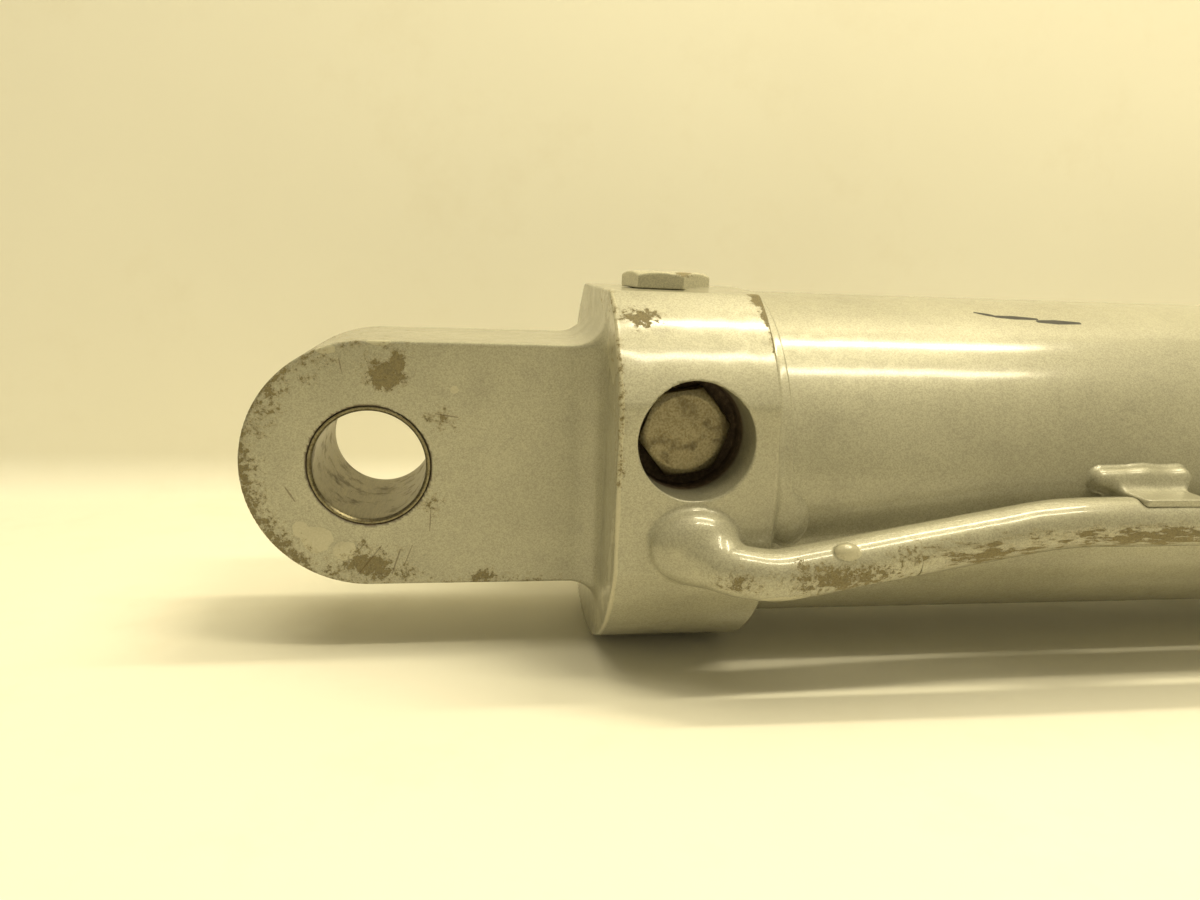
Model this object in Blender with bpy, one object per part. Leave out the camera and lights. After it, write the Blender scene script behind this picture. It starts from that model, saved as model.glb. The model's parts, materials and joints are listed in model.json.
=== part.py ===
"""Double-acting hydraulic cylinder with a welded base lug, a ported end block and a transfer tube.

Frame: metres. The origin is the centre of the base pin bore, +X runs along the barrel towards the
rod end, +Y points away from the ported side and +Z is up, out of the upper port.
"""

import math

import bmesh
import bpy
from mathutils import Matrix, Vector

# ---------------------------------------------------------------- driving dimensions
GAP = 0.0003                 # clearance kept between two pieces that touch

PIN_R = 0.0254               # 2 in pin
LUG_BORE_R = 0.0278
LUG_R = 0.05715              # lug is 4.5 in high with a full round end
LUG_THICK = 0.0762
LUG_EDGE = 0.0015
LUG_WELD_LEG = 0.012

BLOCK_X0 = 0.1064            # pin centre to the block's outer face
BLOCK_LENGTH = 0.0698
BLOCK_R = 0.0937
FRONT_FLAT = 0.0860          # milled flat with the recessed port, distance from the axis
TOP_FLAT = 0.08255           # milled flat with the upper port
SPIGOT_LENGTH = 0.0140       # part of the block that enters the barrel

BARREL_R = 0.08255           # 6.5 in tube with a 5.5 in bore
BORE_R = 0.06985
BARREL_X1 = 0.7680
BARREL_PREP = 0.0075         # weld preparation at the barrel's base end
BARREL_THREAD_R = 0.0790
BARREL_THREAD_X0 = 0.7450

PORT_HOLE_R = 0.0167
PORT_DEPTH = 0.0250
RECESS_R = 0.0254
RECESS_DEPTH = 0.0310
FRONT_PORT_X = 0.1402
FRONT_PORT_Z = 0.0219
GALLERY_R = 0.0080

PLUG_HEX = 0.0381            # across the flats
PLUG_HEAD = 0.0080
PLUG_SHANK_R = 0.0164
PLUG_SHANK = 0.0220
FRONT_PLUG_TURN = math.radians(9.0)
TOP_PLUG_TURN = math.radians(41.5)

TUBE_R = 0.0111              # 7/8 in transfer tube
TUBE_BORE_R = 0.0085
TUBE_PLANE = -0.0986         # the tube's long run lies in this plane of Y
TUBE_BASE_Z = -0.0280
TUBE_RUN_Z = -0.0100
TUBE_BEND_R = 0.0230
TUBE_END_Y = TUBE_PLANE + TUBE_BEND_R + 0.0030
TUBE_WELD_R = 0.0200
TUBE_WELD_HEIGHT = 0.0130
TUBE_WELD_RISE = 0.0040      # the build-up is heavier above the tube
TUBE_WELD_SQUASH = 0.85      # its height up the cylinder as a share of its length
HEAD_PORT_X = 0.7180

CLIP_XS = (0.3535, 0.5900)
CLIP_WIDTH = 0.0330
CLIP_THICK = 0.0060
CLIP_TOP_Z = 0.0020

ROD_R = 0.0381               # 3 in rod
STUB_R = 0.0254
STROKE = 0.4064              # 16 in
PISTON_X0 = 0.2325
PISTON_LENGTH = 0.0635
PISTON_R = 0.0688
NUT_HEX = 0.0730
NUT_LENGTH = 0.0300
GLAND_X0 = PISTON_X0 + PISTON_LENGTH + STROKE + 0.0036
GLAND_FLANGE_R = 0.0785
GLAND_FLANGE = 0.0120
GLAND_X1 = 0.7970
GLAND_NOSE_R = 0.0600
GLAND_NECK_R = 0.0575
GLAND_NOSE = 0.0245          # the nose leaves room for the head port
HEAD_NUT_X1 = 0.7920
HEAD_NUT_LIP_R = 0.0580
HEAD_NUT_SLOTS = 4
EYE_X = 0.8890               # 35 in between pins with the rod retracted
EYE_X0 = 0.8183

# Grooves: start and stop from the piece's own base-end face, and floor radius.
WEAR_GROOVE = (0.0157, 0.0363, 0.0413)
ROD_SEAL_GROOVE = (0.0437, 0.0533, 0.0443)
WIPER_SEAT = (0.0797, 0.0443)
WIPER_LENGTH = 0.0105
GLAND_SEAL_GROOVE = (0.0440, 0.0515, 0.0635)
PISTON_GROOVES = ((0.0072, 0.0198, 0.0662), (0.0267, 0.0373, 0.0610), (0.0437, 0.0563, 0.0662))
PISTON_BORE_GROOVE = (0.0295, 0.0345, 0.0297)

BIG = 48                     # facets round the barrel and block
MID = 36
SMALL = 24
TINY = 14
BLOCK_X1 = BLOCK_X0 + BLOCK_LENGTH
PORT_X = BLOCK_X0 + BLOCK_LENGTH / 2
SHARP = math.radians(35)

PAINT = ((0.50, 0.48, 0.42, 1.0), 0.35, 0.35)
WELD = ((0.47, 0.45, 0.39, 1.0), 0.30, 0.40)
STEEL = ((0.45, 0.43, 0.40, 1.0), 0.90, 0.45)
CHROME = ((0.75, 0.75, 0.76, 1.0), 1.00, 0.08)
RUBBER = ((0.03, 0.03, 0.03, 1.0), 0.00, 0.60)
NYLON = ((0.32, 0.22, 0.12, 1.0), 0.00, 0.50)


# ---------------------------------------------------------------- helpers
def clear_scene():
    for old in list(bpy.data.objects):
        bpy.data.objects.remove(old, do_unlink=True)


def add_material(node, look):
    colour, metallic, roughness = look
    material = bpy.data.materials.new(node.name)
    material.use_nodes = True
    shader = material.node_tree.nodes["Principled BSDF"]
    shader.inputs["Base Color"].default_value = colour
    shader.inputs["Metallic"].default_value = metallic
    shader.inputs["Roughness"].default_value = roughness
    node.data.materials.append(material)


def finish(bm, name, location, look):
    """Turn a bmesh into a named object with outward faces and smooth round sides."""
    bmesh.ops.recalc_face_normals(bm, faces=bm.faces)
    mesh = bpy.data.meshes.new(name)
    bm.to_mesh(mesh)
    bm.free()
    node = bpy.data.objects.new(name, mesh)
    node.location = location
    bpy.context.collection.objects.link(node)
    if look:
        add_material(node, look)
        mesh.shade_smooth()
        mesh.set_sharp_from_angle(angle=SHARP)
    else:
        node.hide_render = True
        node.display_type = "WIRE"
    return node


def turned(name, profile, segments, look, location=(0, 0, 0), axis="X"):
    """Spin a closed profile of (distance along the axis, radius) points about the axis."""
    bm = bmesh.new()
    points = [bm.verts.new((along, radius, 0)) for along, radius in profile]
    edges = [bm.edges.new((a, b)) for a, b in zip(points, points[1:] + points[:1])]
    bmesh.ops.spin(bm, geom=points + edges, cent=(0, 0, 0), axis=(1, 0, 0), dvec=(0, 0, 0),
                   angle=2 * math.pi, steps=segments, use_merge=True, use_duplicate=False)
    bmesh.ops.remove_doubles(bm, verts=bm.verts, dist=1e-6)
    on_axis = [face for face in bm.faces if face.calc_area() < 1e-12]
    bmesh.ops.delete(bm, geom=on_axis, context="FACES")
    loose = [edge for edge in bm.edges if not edge.link_faces]
    bmesh.ops.delete(bm, geom=loose, context="EDGES")
    if axis == "Y":
        bmesh.ops.rotate(bm, verts=bm.verts, matrix=Matrix.Rotation(-math.pi / 2, 3, "Z"))
    if axis == "Z":
        bmesh.ops.rotate(bm, verts=bm.verts, matrix=Matrix.Rotation(-math.pi / 2, 3, "Y"))
    return finish(bm, name, location, look)


def ring(name, x0, length, inner, outer, segments, look):
    """A plain rectangular-section ring on the cylinder's axis, starting at x0."""
    profile = [(0, inner), (length, inner), (length, outer), (0, outer)]
    return turned(name, profile, segments, look, (x0, 0, 0))


def o_ring(name, centre, radius, section, look, segments=SMALL, axis="X"):
    """A round-section ring with its middle at centre."""
    sides = 6
    turn = [2 * math.pi * k / sides for k in range(sides)]
    profile = [(section * math.cos(a), radius + section * math.sin(a)) for a in turn]
    return turned(name, profile, segments, look, centre, axis)


def rod_cutter(name, start, end, radius, segments=SMALL):
    """A hidden round cutter that runs from start to end."""
    start = Vector(start)
    span = Vector(end) - start
    profile = [(0, 0), (span.length, 0), (span.length, radius), (0, radius)]
    node = turned(name, profile, segments, None)
    node.rotation_mode = "QUATERNION"
    node.rotation_quaternion = Vector((1, 0, 0)).rotation_difference(span)
    node.location = start
    return node


def box_cutter(name, low, high):
    bm = bmesh.new()
    bmesh.ops.create_cube(bm, size=1.0)
    low, high = Vector(low), Vector(high)
    bmesh.ops.scale(bm, verts=bm.verts, vec=high - low)
    return finish(bm, name, (low + high) / 2, None)


def boolean(node, cutter, operation="DIFFERENCE"):
    cut = node.modifiers.new(operation.title() + " " + cutter.name, "BOOLEAN")
    cut.operation = operation
    cut.solver = "EXACT"
    cut.object = cutter


def prism(name, outline, y_half, look, location, chamfer=0.0):
    """Extrude an outline of (x, z) points to both sides of y = 0, with chamfered side edges."""
    bm = bmesh.new()
    centre = Vector((sum(x for x, z in outline), 0, sum(z for x, z in outline))) / len(outline)
    loops = []
    for y, inset in ((-y_half, chamfer), (chamfer - y_half, 0), (y_half - chamfer, 0), (y_half, chamfer)):
        loop = []
        for x, z in outline:
            away = Vector((x, 0, z)) - centre
            place = centre + away * (1 - inset / away.length)
            loop.append(bm.verts.new((place.x, y, place.z)))
        loops.append(loop)
    bm.faces.new(loops[0])
    bm.faces.new(loops[-1])
    for near, far in zip(loops, loops[1:]):
        for k in range(len(outline)):
            nxt = (k + 1) % len(outline)
            bm.faces.new((near[k], near[nxt], far[nxt], far[k]))
    return finish(bm, name, location, look)


def hexagon_head(bm, across, height, chamfer):
    """A chamfered hexagon standing on z = 0 with its first corner on +X."""
    corner = across / math.sqrt(3)
    levels = ((0, corner), (height - chamfer, corner), (height, corner - 1.7 * chamfer))
    loops = []
    for z, radius in levels:
        turn = [math.pi * k / 3 for k in range(6)]
        loops.append([bm.verts.new((radius * math.cos(a), radius * math.sin(a), z)) for a in turn])
    for low, high in zip(loops, loops[1:]):
        for k in range(6):
            bm.faces.new((low[k], low[(k + 1) % 6], high[(k + 1) % 6], high[k]))
    return loops[0], loops[-1]


# ---------------------------------------------------------------- transfer tube route
def bent_route(corners, radii, arc_steps):
    """Straight runs joined by arcs: the centre line of a bent tube."""
    points = [Vector(corners[0])]
    for before, corner, after, radius, steps in zip(corners, corners[1:], corners[2:], radii, arc_steps):
        corner = Vector(corner)
        back = (Vector(before) - corner).normalized()
        onward = (Vector(after) - corner).normalized()
        half = back.angle(onward) / 2
        reach = radius / math.tan(half)
        middle = corner + (back + onward).normalized() * radius / math.sin(half)
        first = corner + back * reach - middle
        last = corner + onward * reach - middle
        sweep = first.angle(last)
        normal = first.cross(last).normalized()
        for k in range(steps + 1):
            points.append(middle + Matrix.Rotation(sweep * k / steps, 3, normal) @ first)
    points.append(Vector(corners[-1]))
    return points


def tube_route(overrun=0.0):
    """Centre line from the block's socket to the barrel's head port."""
    corners = [
        (PORT_X, TUBE_END_Y + overrun, TUBE_BASE_Z),
        (PORT_X, TUBE_PLANE, TUBE_BASE_Z),
        (0.1745, TUBE_PLANE, -0.0332),
        (0.3030, TUBE_PLANE, TUBE_RUN_Z),
        (HEAD_PORT_X, TUBE_PLANE, TUBE_RUN_Z),
        (HEAD_PORT_X, TUBE_END_Y + overrun, TUBE_RUN_Z),
    ]
    radii = (TUBE_BEND_R, 0.050, 0.200, TUBE_BEND_R)
    return bent_route(corners, radii, (6, 3, 3, 6))


def section_rings(bm, points, radius, sides):
    """Rings of vertices square to the route, kept from twisting."""
    ahead = [(b - a).normalized() for a, b in zip(points, points[1:])]
    headings = [ahead[0]] + [(a + b).normalized() for a, b in zip(ahead, ahead[1:])] + [ahead[-1]]
    side = Vector((0, 0, 1))
    rings = []
    for point, heading in zip(points, headings):
        side = (side - heading * side.dot(heading)).normalized()
        other = heading.cross(side)
        turn = [2 * math.pi * k / sides for k in range(sides)]
        places = [point + radius * (side * math.cos(a) + other * math.sin(a)) for a in turn]
        rings.append([bm.verts.new(place) for place in places])
    return rings


def skin(bm, rings):
    for near, far in zip(rings, rings[1:]):
        for k in range(len(near)):
            nxt = (k + 1) % len(near)
            bm.faces.new((near[k], near[nxt], far[nxt], far[k]))


def tube_space(name):
    """A hidden cutter: the tube's outside with the usual clearance."""
    bm = bmesh.new()
    rings = section_rings(bm, tube_route(GAP), TUBE_R + GAP, TINY)
    skin(bm, rings)
    bm.faces.new(rings[0])
    bm.faces.new(rings[-1])
    return finish(bm, name, (0, 0, 0), None)


def make_transfer_tube():
    bm = bmesh.new()
    points = tube_route()
    outside = section_rings(bm, points, TUBE_R, TINY)
    inside = section_rings(bm, points, TUBE_BORE_R, TINY)
    skin(bm, outside)
    skin(bm, inside)
    skin(bm, [outside[0], inside[0]])
    skin(bm, [outside[-1], inside[-1]])
    return finish(bm, "transfer_tube", (0, 0, 0), STEEL)


# ---------------------------------------------------------------- base end
def lug_outline(reach):
    """A full round end about the pin and a straight run to reach along +X."""
    steps = 28
    turn = [math.pi / 2 + math.pi * k / steps for k in range(steps + 1)]
    arc = [(LUG_R * math.cos(a), LUG_R * math.sin(a)) for a in turn]
    return arc + [(reach, -LUG_R), (reach, LUG_R)]


def make_lug(name, x, reach, mirrored):
    outline = lug_outline(reach)
    if mirrored:
        outline = [(-px, pz) for px, pz in outline]
    node = prism(name, outline, LUG_THICK / 2, PAINT, (x, 0, 0), LUG_EDGE)
    bore = rod_cutter("cut_" + name + "_bore", (x, -LUG_THICK, 0), (x, LUG_THICK, 0), LUG_BORE_R, MID)
    boolean(node, bore)
    return node


def relieve_lug(node):
    """Sink the lug's sides by a gap's depth under the weld, so that the flat faces end where it starts."""
    start = BLOCK_X0 - GAP - LUG_WELD_LEG - GAP
    for name, side in (("front", -1), ("back", 1)):
        faces = sorted((side * (LUG_THICK / 2 - GAP), side * LUG_THICK))
        low = (start, faces[0], -2 * LUG_R)
        high = (BLOCK_X0 + LUG_EDGE, faces[1], 2 * LUG_R)
        boolean(node, box_cutter("cut_lug_" + name, low, high))


def make_bushing(name, x):
    outer = LUG_BORE_R - GAP
    half = LUG_THICK / 2 - 0.0004
    lip = 0.0012
    profile = [(-half, PIN_R + lip), (lip - half, PIN_R), (half - lip, PIN_R), (half, PIN_R + lip),
               (half, outer), (-half, outer)]
    return turned(name, profile, MID, STEEL, (x, 0, 0), "Y")


def make_lug_weld():
    """Concave fillet round the lug where it meets the block."""
    bm = bmesh.new()
    steps, corner_steps = 5, 3
    corner_r, thin = 0.0040, 0.0012
    stations = [(0, 0)]
    for k in range(steps + 1):
        angle = math.pi / 2 * k / steps
        stations.append((LUG_WELD_LEG * math.sin(angle), thin + LUG_WELD_LEG * (1 - math.cos(angle))))
    stations.append((LUG_WELD_LEG, 0))
    loops = []
    for along, stand in stations:
        x = BLOCK_X0 - GAP - LUG_WELD_LEG + along
        half_y = LUG_THICK / 2 + GAP + stand
        half_z = LUG_R + GAP + stand
        round_r = corner_r + stand
        loop = []
        for quarter, (sy, sz) in enumerate(((1, 1), (-1, 1), (-1, -1), (1, -1))):
            for k in range(corner_steps + 1):
                angle = math.pi / 2 * (quarter + k / corner_steps)
                y = sy * (half_y - round_r) + round_r * math.cos(angle)
                z = sz * (half_z - round_r) + round_r * math.sin(angle)
                loop.append(bm.verts.new((x, y, z)))
        loops.append(loop)
    skin(bm, loops + [loops[0]])
    node = finish(bm, "lug_weld", (0, 0, 0), WELD)
    low = (0, -LUG_THICK / 2, -LUG_R - GAP)
    high = (BLOCK_X0, LUG_THICK / 2, LUG_R + GAP)
    boolean(node, box_cutter("cut_lug_space", low, high))


def block_blank(name, look, grow=0.0):
    """The turned end block with its spigot, before the flats and ports."""
    edge = 0.0018
    radius = BLOCK_R + grow
    spigot = BORE_R - GAP
    face = BLOCK_LENGTH + grow
    profile = [(-grow, 0), (-grow, radius - edge), (edge - grow, radius), (face - edge, radius),
               (face, radius - edge), (face, spigot), (BLOCK_LENGTH + SPIGOT_LENGTH, spigot),
               (BLOCK_LENGTH + SPIGOT_LENGTH, 0)]
    node = turned(name, profile, BIG, look, (BLOCK_X0, 0, 0))
    wide = 2 * BLOCK_R
    top = box_cutter("cut_" + name + "_top", (0, -wide, TOP_FLAT + grow), (2 * wide, wide, wide))
    front = box_cutter("cut_" + name + "_front", (0, -wide, -wide), (2 * wide, -FRONT_FLAT - grow, wide))
    boolean(node, top)
    boolean(node, front)
    return node


def stepped_cutter(name, mouth, axis, steps):
    """A hidden turned cutter: each step is (depth below the mouth, radius), widest first."""
    clear = 0.040
    profile = [(clear, 0), (clear, steps[0][1])]
    for (depth, radius), (_, narrower) in zip(steps, steps[1:] + [(0, 0)]):
        profile += [(-depth, radius), (-depth, narrower)]
    return turned(name, profile, SMALL, None, mouth, axis)


def make_base_block(tube_cutter):
    """End block with a recessed front port to the base chamber and a top port to the tube."""
    block = block_blank("base_block", PAINT)
    x = PORT_X
    front_depth = RECESS_DEPTH + PORT_DEPTH
    gallery_y = front_depth - FRONT_FLAT - 0.012
    front_steps = [(RECESS_DEPTH, RECESS_R), (front_depth, PORT_HOLE_R)]
    down_depth = TOP_FLAT - TUBE_BASE_Z + 0.012
    top_steps = [(PORT_DEPTH, PORT_HOLE_R), (down_depth, GALLERY_R)]
    cutters = [
        stepped_cutter("cut_front_port", (FRONT_PORT_X, -FRONT_FLAT, FRONT_PORT_Z), "Y", front_steps),
        rod_cutter("cut_base_gallery", (FRONT_PORT_X, gallery_y, FRONT_PORT_Z),
                   (FRONT_PORT_X + 0.12, gallery_y, FRONT_PORT_Z), GALLERY_R, TINY),
        stepped_cutter("cut_top_port", (x, 0, TOP_FLAT), "Z", top_steps),
        rod_cutter("cut_cross_gallery", (x, TUBE_END_Y - 0.002, TUBE_BASE_Z), (x, 0.004, TUBE_BASE_Z),
                   TUBE_BORE_R - 0.0015, TINY),
        tube_cutter,
    ]
    for cutter in cutters:
        boolean(block, cutter)
    return block


def make_plug(name, location, rotation):
    """Hexagon port plug: head on z = 0 and a plain shank below, with a groove for its seal."""
    bm = bmesh.new()
    bottom, top = hexagon_head(bm, PLUG_HEX, PLUG_HEAD, 0.0012)
    bm.faces.new(top)
    bm.faces.new(bottom)
    head = finish(bm, name, location, STEEL)
    groove, groove_r = 0.0035, 0.0140
    profile = [(-0.002, 0), (-0.002, groove_r), (groove, groove_r), (groove, PLUG_SHANK_R),
               (PLUG_SHANK - 0.001, PLUG_SHANK_R), (PLUG_SHANK, PLUG_SHANK_R - 0.001), (PLUG_SHANK, 0)]
    shank = turned("add_" + name + "_shank", profile, SMALL, None, location, "Z")
    for piece in (head, shank):
        piece.rotation_euler = rotation
    flip = Matrix.Rotation(math.pi, 4, "X")
    shank.data.transform(flip)
    boolean(head, shank, "UNION")
    return head


def make_ports():
    recess_y = -FRONT_FLAT + RECESS_DEPTH
    front = Vector((FRONT_PORT_X, recess_y - GAP, FRONT_PORT_Z))
    top = Vector((PORT_X, 0, TOP_FLAT + GAP))
    make_plug("front_port_plug", front, (math.pi / 2, -FRONT_PLUG_TURN, 0))
    make_plug("top_port_plug", top, (0, 0, TOP_PLUG_TURN))
    seal_r, section, sunk = 0.01535, 0.00105, 0.0020
    o_ring("front_plug_seal", front + Vector((0, sunk, 0)), seal_r, section, RUBBER, axis="Y")
    o_ring("top_plug_seal", top - Vector((0, 0, sunk)), seal_r, section, RUBBER, axis="Z")


# ---------------------------------------------------------------- barrel
def make_barrel(tube_cutter):
    x0 = BLOCK_X1 + GAP
    prep_r = BORE_R + 0.0060
    end = BARREL_X1 - x0
    thread = BARREL_THREAD_X0 - x0
    profile = [(0, BORE_R), (end, BORE_R), (end, BARREL_THREAD_R), (thread, BARREL_THREAD_R),
               (thread, BARREL_R), (BARREL_PREP, BARREL_R), (0.0010, prep_r), (0, prep_r)]
    barrel = turned("barrel_tube", profile, BIG, PAINT, (x0, 0, 0))
    drill = rod_cutter("cut_head_port", (HEAD_PORT_X, -0.080, TUBE_RUN_Z), (HEAD_PORT_X, -0.050, TUBE_RUN_Z),
                       TUBE_BORE_R, TINY)
    boolean(barrel, drill)
    boolean(barrel, tube_cutter)
    return barrel


def make_barrel_weld():
    """Girth weld that fills the vee between the block and the barrel, slightly proud."""
    crown = BARREL_R + 0.0008
    root = BORE_R + 0.0060 + GAP
    width = BARREL_PREP - GAP
    profile = [(0, root), (0.0008, root), (width, BARREL_R), (width, BARREL_R + 0.0002),
               (width * 0.75, crown), (width * 0.25, crown), (0, BARREL_R)]
    return turned("barrel_weld", profile, BIG, WELD, (BLOCK_X1 + GAP, 0, 0))


def make_tube_weld(name, x, z, body_cutter, tube_cutter):
    """Domed weld build-up round the tube where it enters the cylinder."""
    steps = 6
    foot = 0.012
    profile = [(-foot, 0), (-foot, TUBE_WELD_R)]
    for k in range(steps + 1):
        angle = math.pi / 2 * k / steps
        profile.append((TUBE_WELD_HEIGHT * math.sin(angle), TUBE_WELD_R * math.cos(angle)))
    seat = -FRONT_FLAT if x < BLOCK_X1 else -math.sqrt(BARREL_R ** 2 - z ** 2)
    dome = turned(name, profile, SMALL, WELD, (x, seat, z + TUBE_WELD_RISE), "Y")
    dome.data.transform(Matrix.Diagonal((1, 1, TUBE_WELD_SQUASH, 1)))
    boolean(dome, body_cutter)
    boolean(dome, tube_cutter)
    return dome


def make_clips(barrel_cutter, tube_cutter):
    """Flat tabs welded between the barrel and the top of the tube, each with a heavy bead."""
    for number, x in enumerate(CLIP_XS, 1):
        half = CLIP_WIDTH / 2
        low = Vector((x - half, -0.0965, CLIP_TOP_Z - CLIP_THICK))
        high = Vector((x + half, -0.0780, CLIP_TOP_Z))
        tab = box_cutter("clip_tab_%d" % number, low, high)
        tab.hide_render = False
        tab.display_type = "TEXTURED"
        add_material(tab, PAINT)
        bm = bmesh.new()
        bmesh.ops.create_uvsphere(bm, u_segments=16, v_segments=10, radius=1.0)
        bmesh.ops.rotate(bm, verts=bm.verts, matrix=Matrix.Rotation(math.pi / 2, 3, "Y"))
        bmesh.ops.scale(bm, verts=bm.verts, vec=(0.0245, 0.0058, 0.0062))
        bead = finish(bm, "clip_weld_%d" % number, (x - 0.0065, -0.0832, 0.0050), WELD)
        space = box_cutter("cut_clip_space_%d" % number, low - Vector((GAP, GAP, GAP)),
                           high + Vector((GAP, GAP, GAP)))
        boolean(tab, barrel_cutter)
        boolean(tab, tube_cutter)
        boolean(bead, barrel_cutter)
        boolean(bead, tube_cutter)
        boolean(bead, space)


# ---------------------------------------------------------------- head end
def groove(start, stop, floor, wall):
    """Four profile points of a rectangular groove in a wall of the given radius."""
    return [(start, wall), (start, floor), (stop, floor), (stop, wall)]


def make_gland():
    """Guide and seal carrier: nose, body with an outside groove, flange and neck, bored for the rod."""
    bore = ROD_R + GAP
    body_r = BORE_R - GAP
    flange_x = BARREL_X1 + GAP - GLAND_X0
    neck_x = flange_x + GLAND_FLANGE
    end = GLAND_X1 - GLAND_X0
    wiper_x, wiper_r = WIPER_SEAT
    outside = [(0, bore), (0, GLAND_NOSE_R), (GLAND_NOSE, GLAND_NOSE_R), (GLAND_NOSE, body_r)]
    outside += groove(*GLAND_SEAL_GROOVE, body_r)
    outside += [(flange_x, body_r), (flange_x, GLAND_FLANGE_R), (neck_x, GLAND_FLANGE_R),
                (neck_x, GLAND_NECK_R), (end, GLAND_NECK_R)]
    inside = groove(*WEAR_GROOVE, bore) + groove(*ROD_SEAL_GROOVE, bore)
    inside += [(wiper_x, bore), (wiper_x, wiper_r), (end, wiper_r)]
    return turned("gland", outside + inside[::-1], MID, STEEL, (GLAND_X0, 0, 0))


def ring_in_groove(name, x0, place, wall, look):
    """A ring that fills a groove, from its floor to the wall that it bears on."""
    start, stop, floor = place
    length = stop - start - 2 * GAP
    inner, outer = sorted((floor + math.copysign(GAP, wall - floor), wall))
    ring(name, x0 + start + GAP, length, inner, outer, MID, look)


def make_gland_seals():
    rod_wall = ROD_R + GAP
    ring_in_groove("rod_wear_ring", GLAND_X0, WEAR_GROOVE, rod_wall, NYLON)
    ring_in_groove("rod_seal", GLAND_X0, ROD_SEAL_GROOVE, rod_wall, RUBBER)
    wiper_x, wiper_r = WIPER_SEAT
    ring("rod_wiper", GLAND_X0 + wiper_x + GAP, WIPER_LENGTH, rod_wall, wiper_r - GAP, MID, RUBBER)
    start, stop, floor = GLAND_SEAL_GROOVE
    section, backup = 0.0024, 0.0017
    seal_x = GLAND_X0 + start + GAP + section
    o_ring("gland_seal", (seal_x, 0, 0), BORE_R - 2 * GAP - section, section, RUBBER)
    ring("gland_backup_ring", GLAND_X0 + stop - GAP - backup, backup, floor + 2 * GAP, BORE_R - GAP,
         MID, NYLON)


def make_head_nut():
    """Ring nut that screws over the barrel's end and traps the gland's flange, with spanner slots."""
    x0 = BARREL_THREAD_X0 + GAP
    seat = BARREL_X1 + 2 * GAP + GLAND_FLANGE - x0
    end = HEAD_NUT_X1 - x0
    edge = 0.0020
    inner = BARREL_THREAD_R + GAP
    profile = [(0, inner), (seat, inner), (seat, HEAD_NUT_LIP_R), (end, HEAD_NUT_LIP_R),
               (end, BLOCK_R - edge), (end - edge, BLOCK_R), (edge, BLOCK_R), (0, BLOCK_R - edge)]
    nut = turned("head_nut", profile, BIG, PAINT, (x0, 0, 0))
    slot_half, slot_floor, slot_length = 0.0060, 0.0885, 0.0140
    for k in range(HEAD_NUT_SLOTS):
        slot = box_cutter("cut_slot_%d" % k, (HEAD_NUT_X1 - slot_length, slot_floor, -slot_half),
                          (HEAD_NUT_X1 + slot_length, BLOCK_R + slot_length, slot_half))
        slot.data.transform(Matrix.Translation(slot.location))
        slot.location = (0, 0, 0)
        slot.rotation_euler = (math.pi / 4 + 2 * math.pi * k / HEAD_NUT_SLOTS, 0, 0)
        boolean(nut, slot)
    return nut


# ---------------------------------------------------------------- moving pieces
def make_piston():
    """Piston bored for the rod's stub, with two wear-ring grooves, a seal groove and an inner groove."""
    bore = STUB_R + GAP
    outside = [(0, bore), (0, PISTON_R)]
    for place in PISTON_GROOVES:
        outside += groove(*place, PISTON_R)
    outside.append((PISTON_LENGTH, PISTON_R))
    inside = groove(*PISTON_BORE_GROOVE, bore) + [(PISTON_LENGTH, bore)]
    return turned("piston", outside + inside[::-1], MID, STEEL, (PISTON_X0, 0, 0))


def make_piston_seals():
    wall = BORE_R - GAP - 0.0001
    names = ("piston_wear_ring_1", "piston_seal", "piston_wear_ring_2")
    for name, place, look in zip(names, PISTON_GROOVES, (NYLON, RUBBER, NYLON)):
        ring_in_groove(name, PISTON_X0, place, wall, look)
    start, stop, _ = PISTON_BORE_GROOVE
    section = 0.0018
    middle = PISTON_X0 + (start + stop) / 2
    o_ring("piston_static_seal", (middle, 0, 0), STUB_R + 0.0004 + section, section, RUBBER)


def make_piston_nut():
    bm = bmesh.new()
    bottom, top = hexagon_head(bm, NUT_HEX, NUT_LENGTH, 0.0020)
    bm.faces.new(top)
    bm.faces.new(bottom)
    bmesh.ops.rotate(bm, verts=bm.verts, matrix=Matrix.Rotation(-math.pi / 2, 3, "Y"))
    x = PISTON_X0 - GAP
    node = finish(bm, "piston_nut", (x, 0, 0), STEEL)
    boolean(node, rod_cutter("cut_nut_bore", (x - 0.05, 0, 0), (x + 0.02, 0, 0), STUB_R + GAP))
    return node


def make_rod():
    start = PISTON_X0 - GAP - NUT_LENGTH - 0.002
    shoulder = PISTON_X0 + PISTON_LENGTH + GAP - start
    end = EYE_X0 - GAP - start
    edge = 0.002
    profile = [(0, 0), (0, STUB_R - edge), (edge, STUB_R), (shoulder, STUB_R), (shoulder, ROD_R - edge),
               (shoulder + edge, ROD_R), (end, ROD_R), (end, 0)]
    return turned("piston_rod", profile, MID, CHROME, (start, 0, 0))


def make_rod_eye_weld():
    leg = 0.0110
    inner = ROD_R + GAP
    profile = [(0, inner), (leg, inner), (leg, inner + leg), (leg * 0.62, inner + leg * 0.45),
               (leg * 0.25, inner + leg * 0.12)]
    return turned("rod_eye_weld", profile, MID, WELD, (EYE_X0 - GAP - leg, 0, 0))


# ---------------------------------------------------------------- assembly
def hidden_barrel(name):
    return rod_cutter(name, (BLOCK_X1 - 0.02, 0, 0), (BARREL_X1, 0, 0), BARREL_R + GAP, BIG)


def group(name, x, members):
    """Parent the members to an empty on the rod's axis, keeping their places."""
    pivot = bpy.data.objects.new(name, None)
    pivot.location = (x, 0, 0)
    bpy.context.collection.objects.link(pivot)
    for member in members:
        node = bpy.data.objects[member]
        node.location.x -= x
        node.parent = pivot


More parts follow.
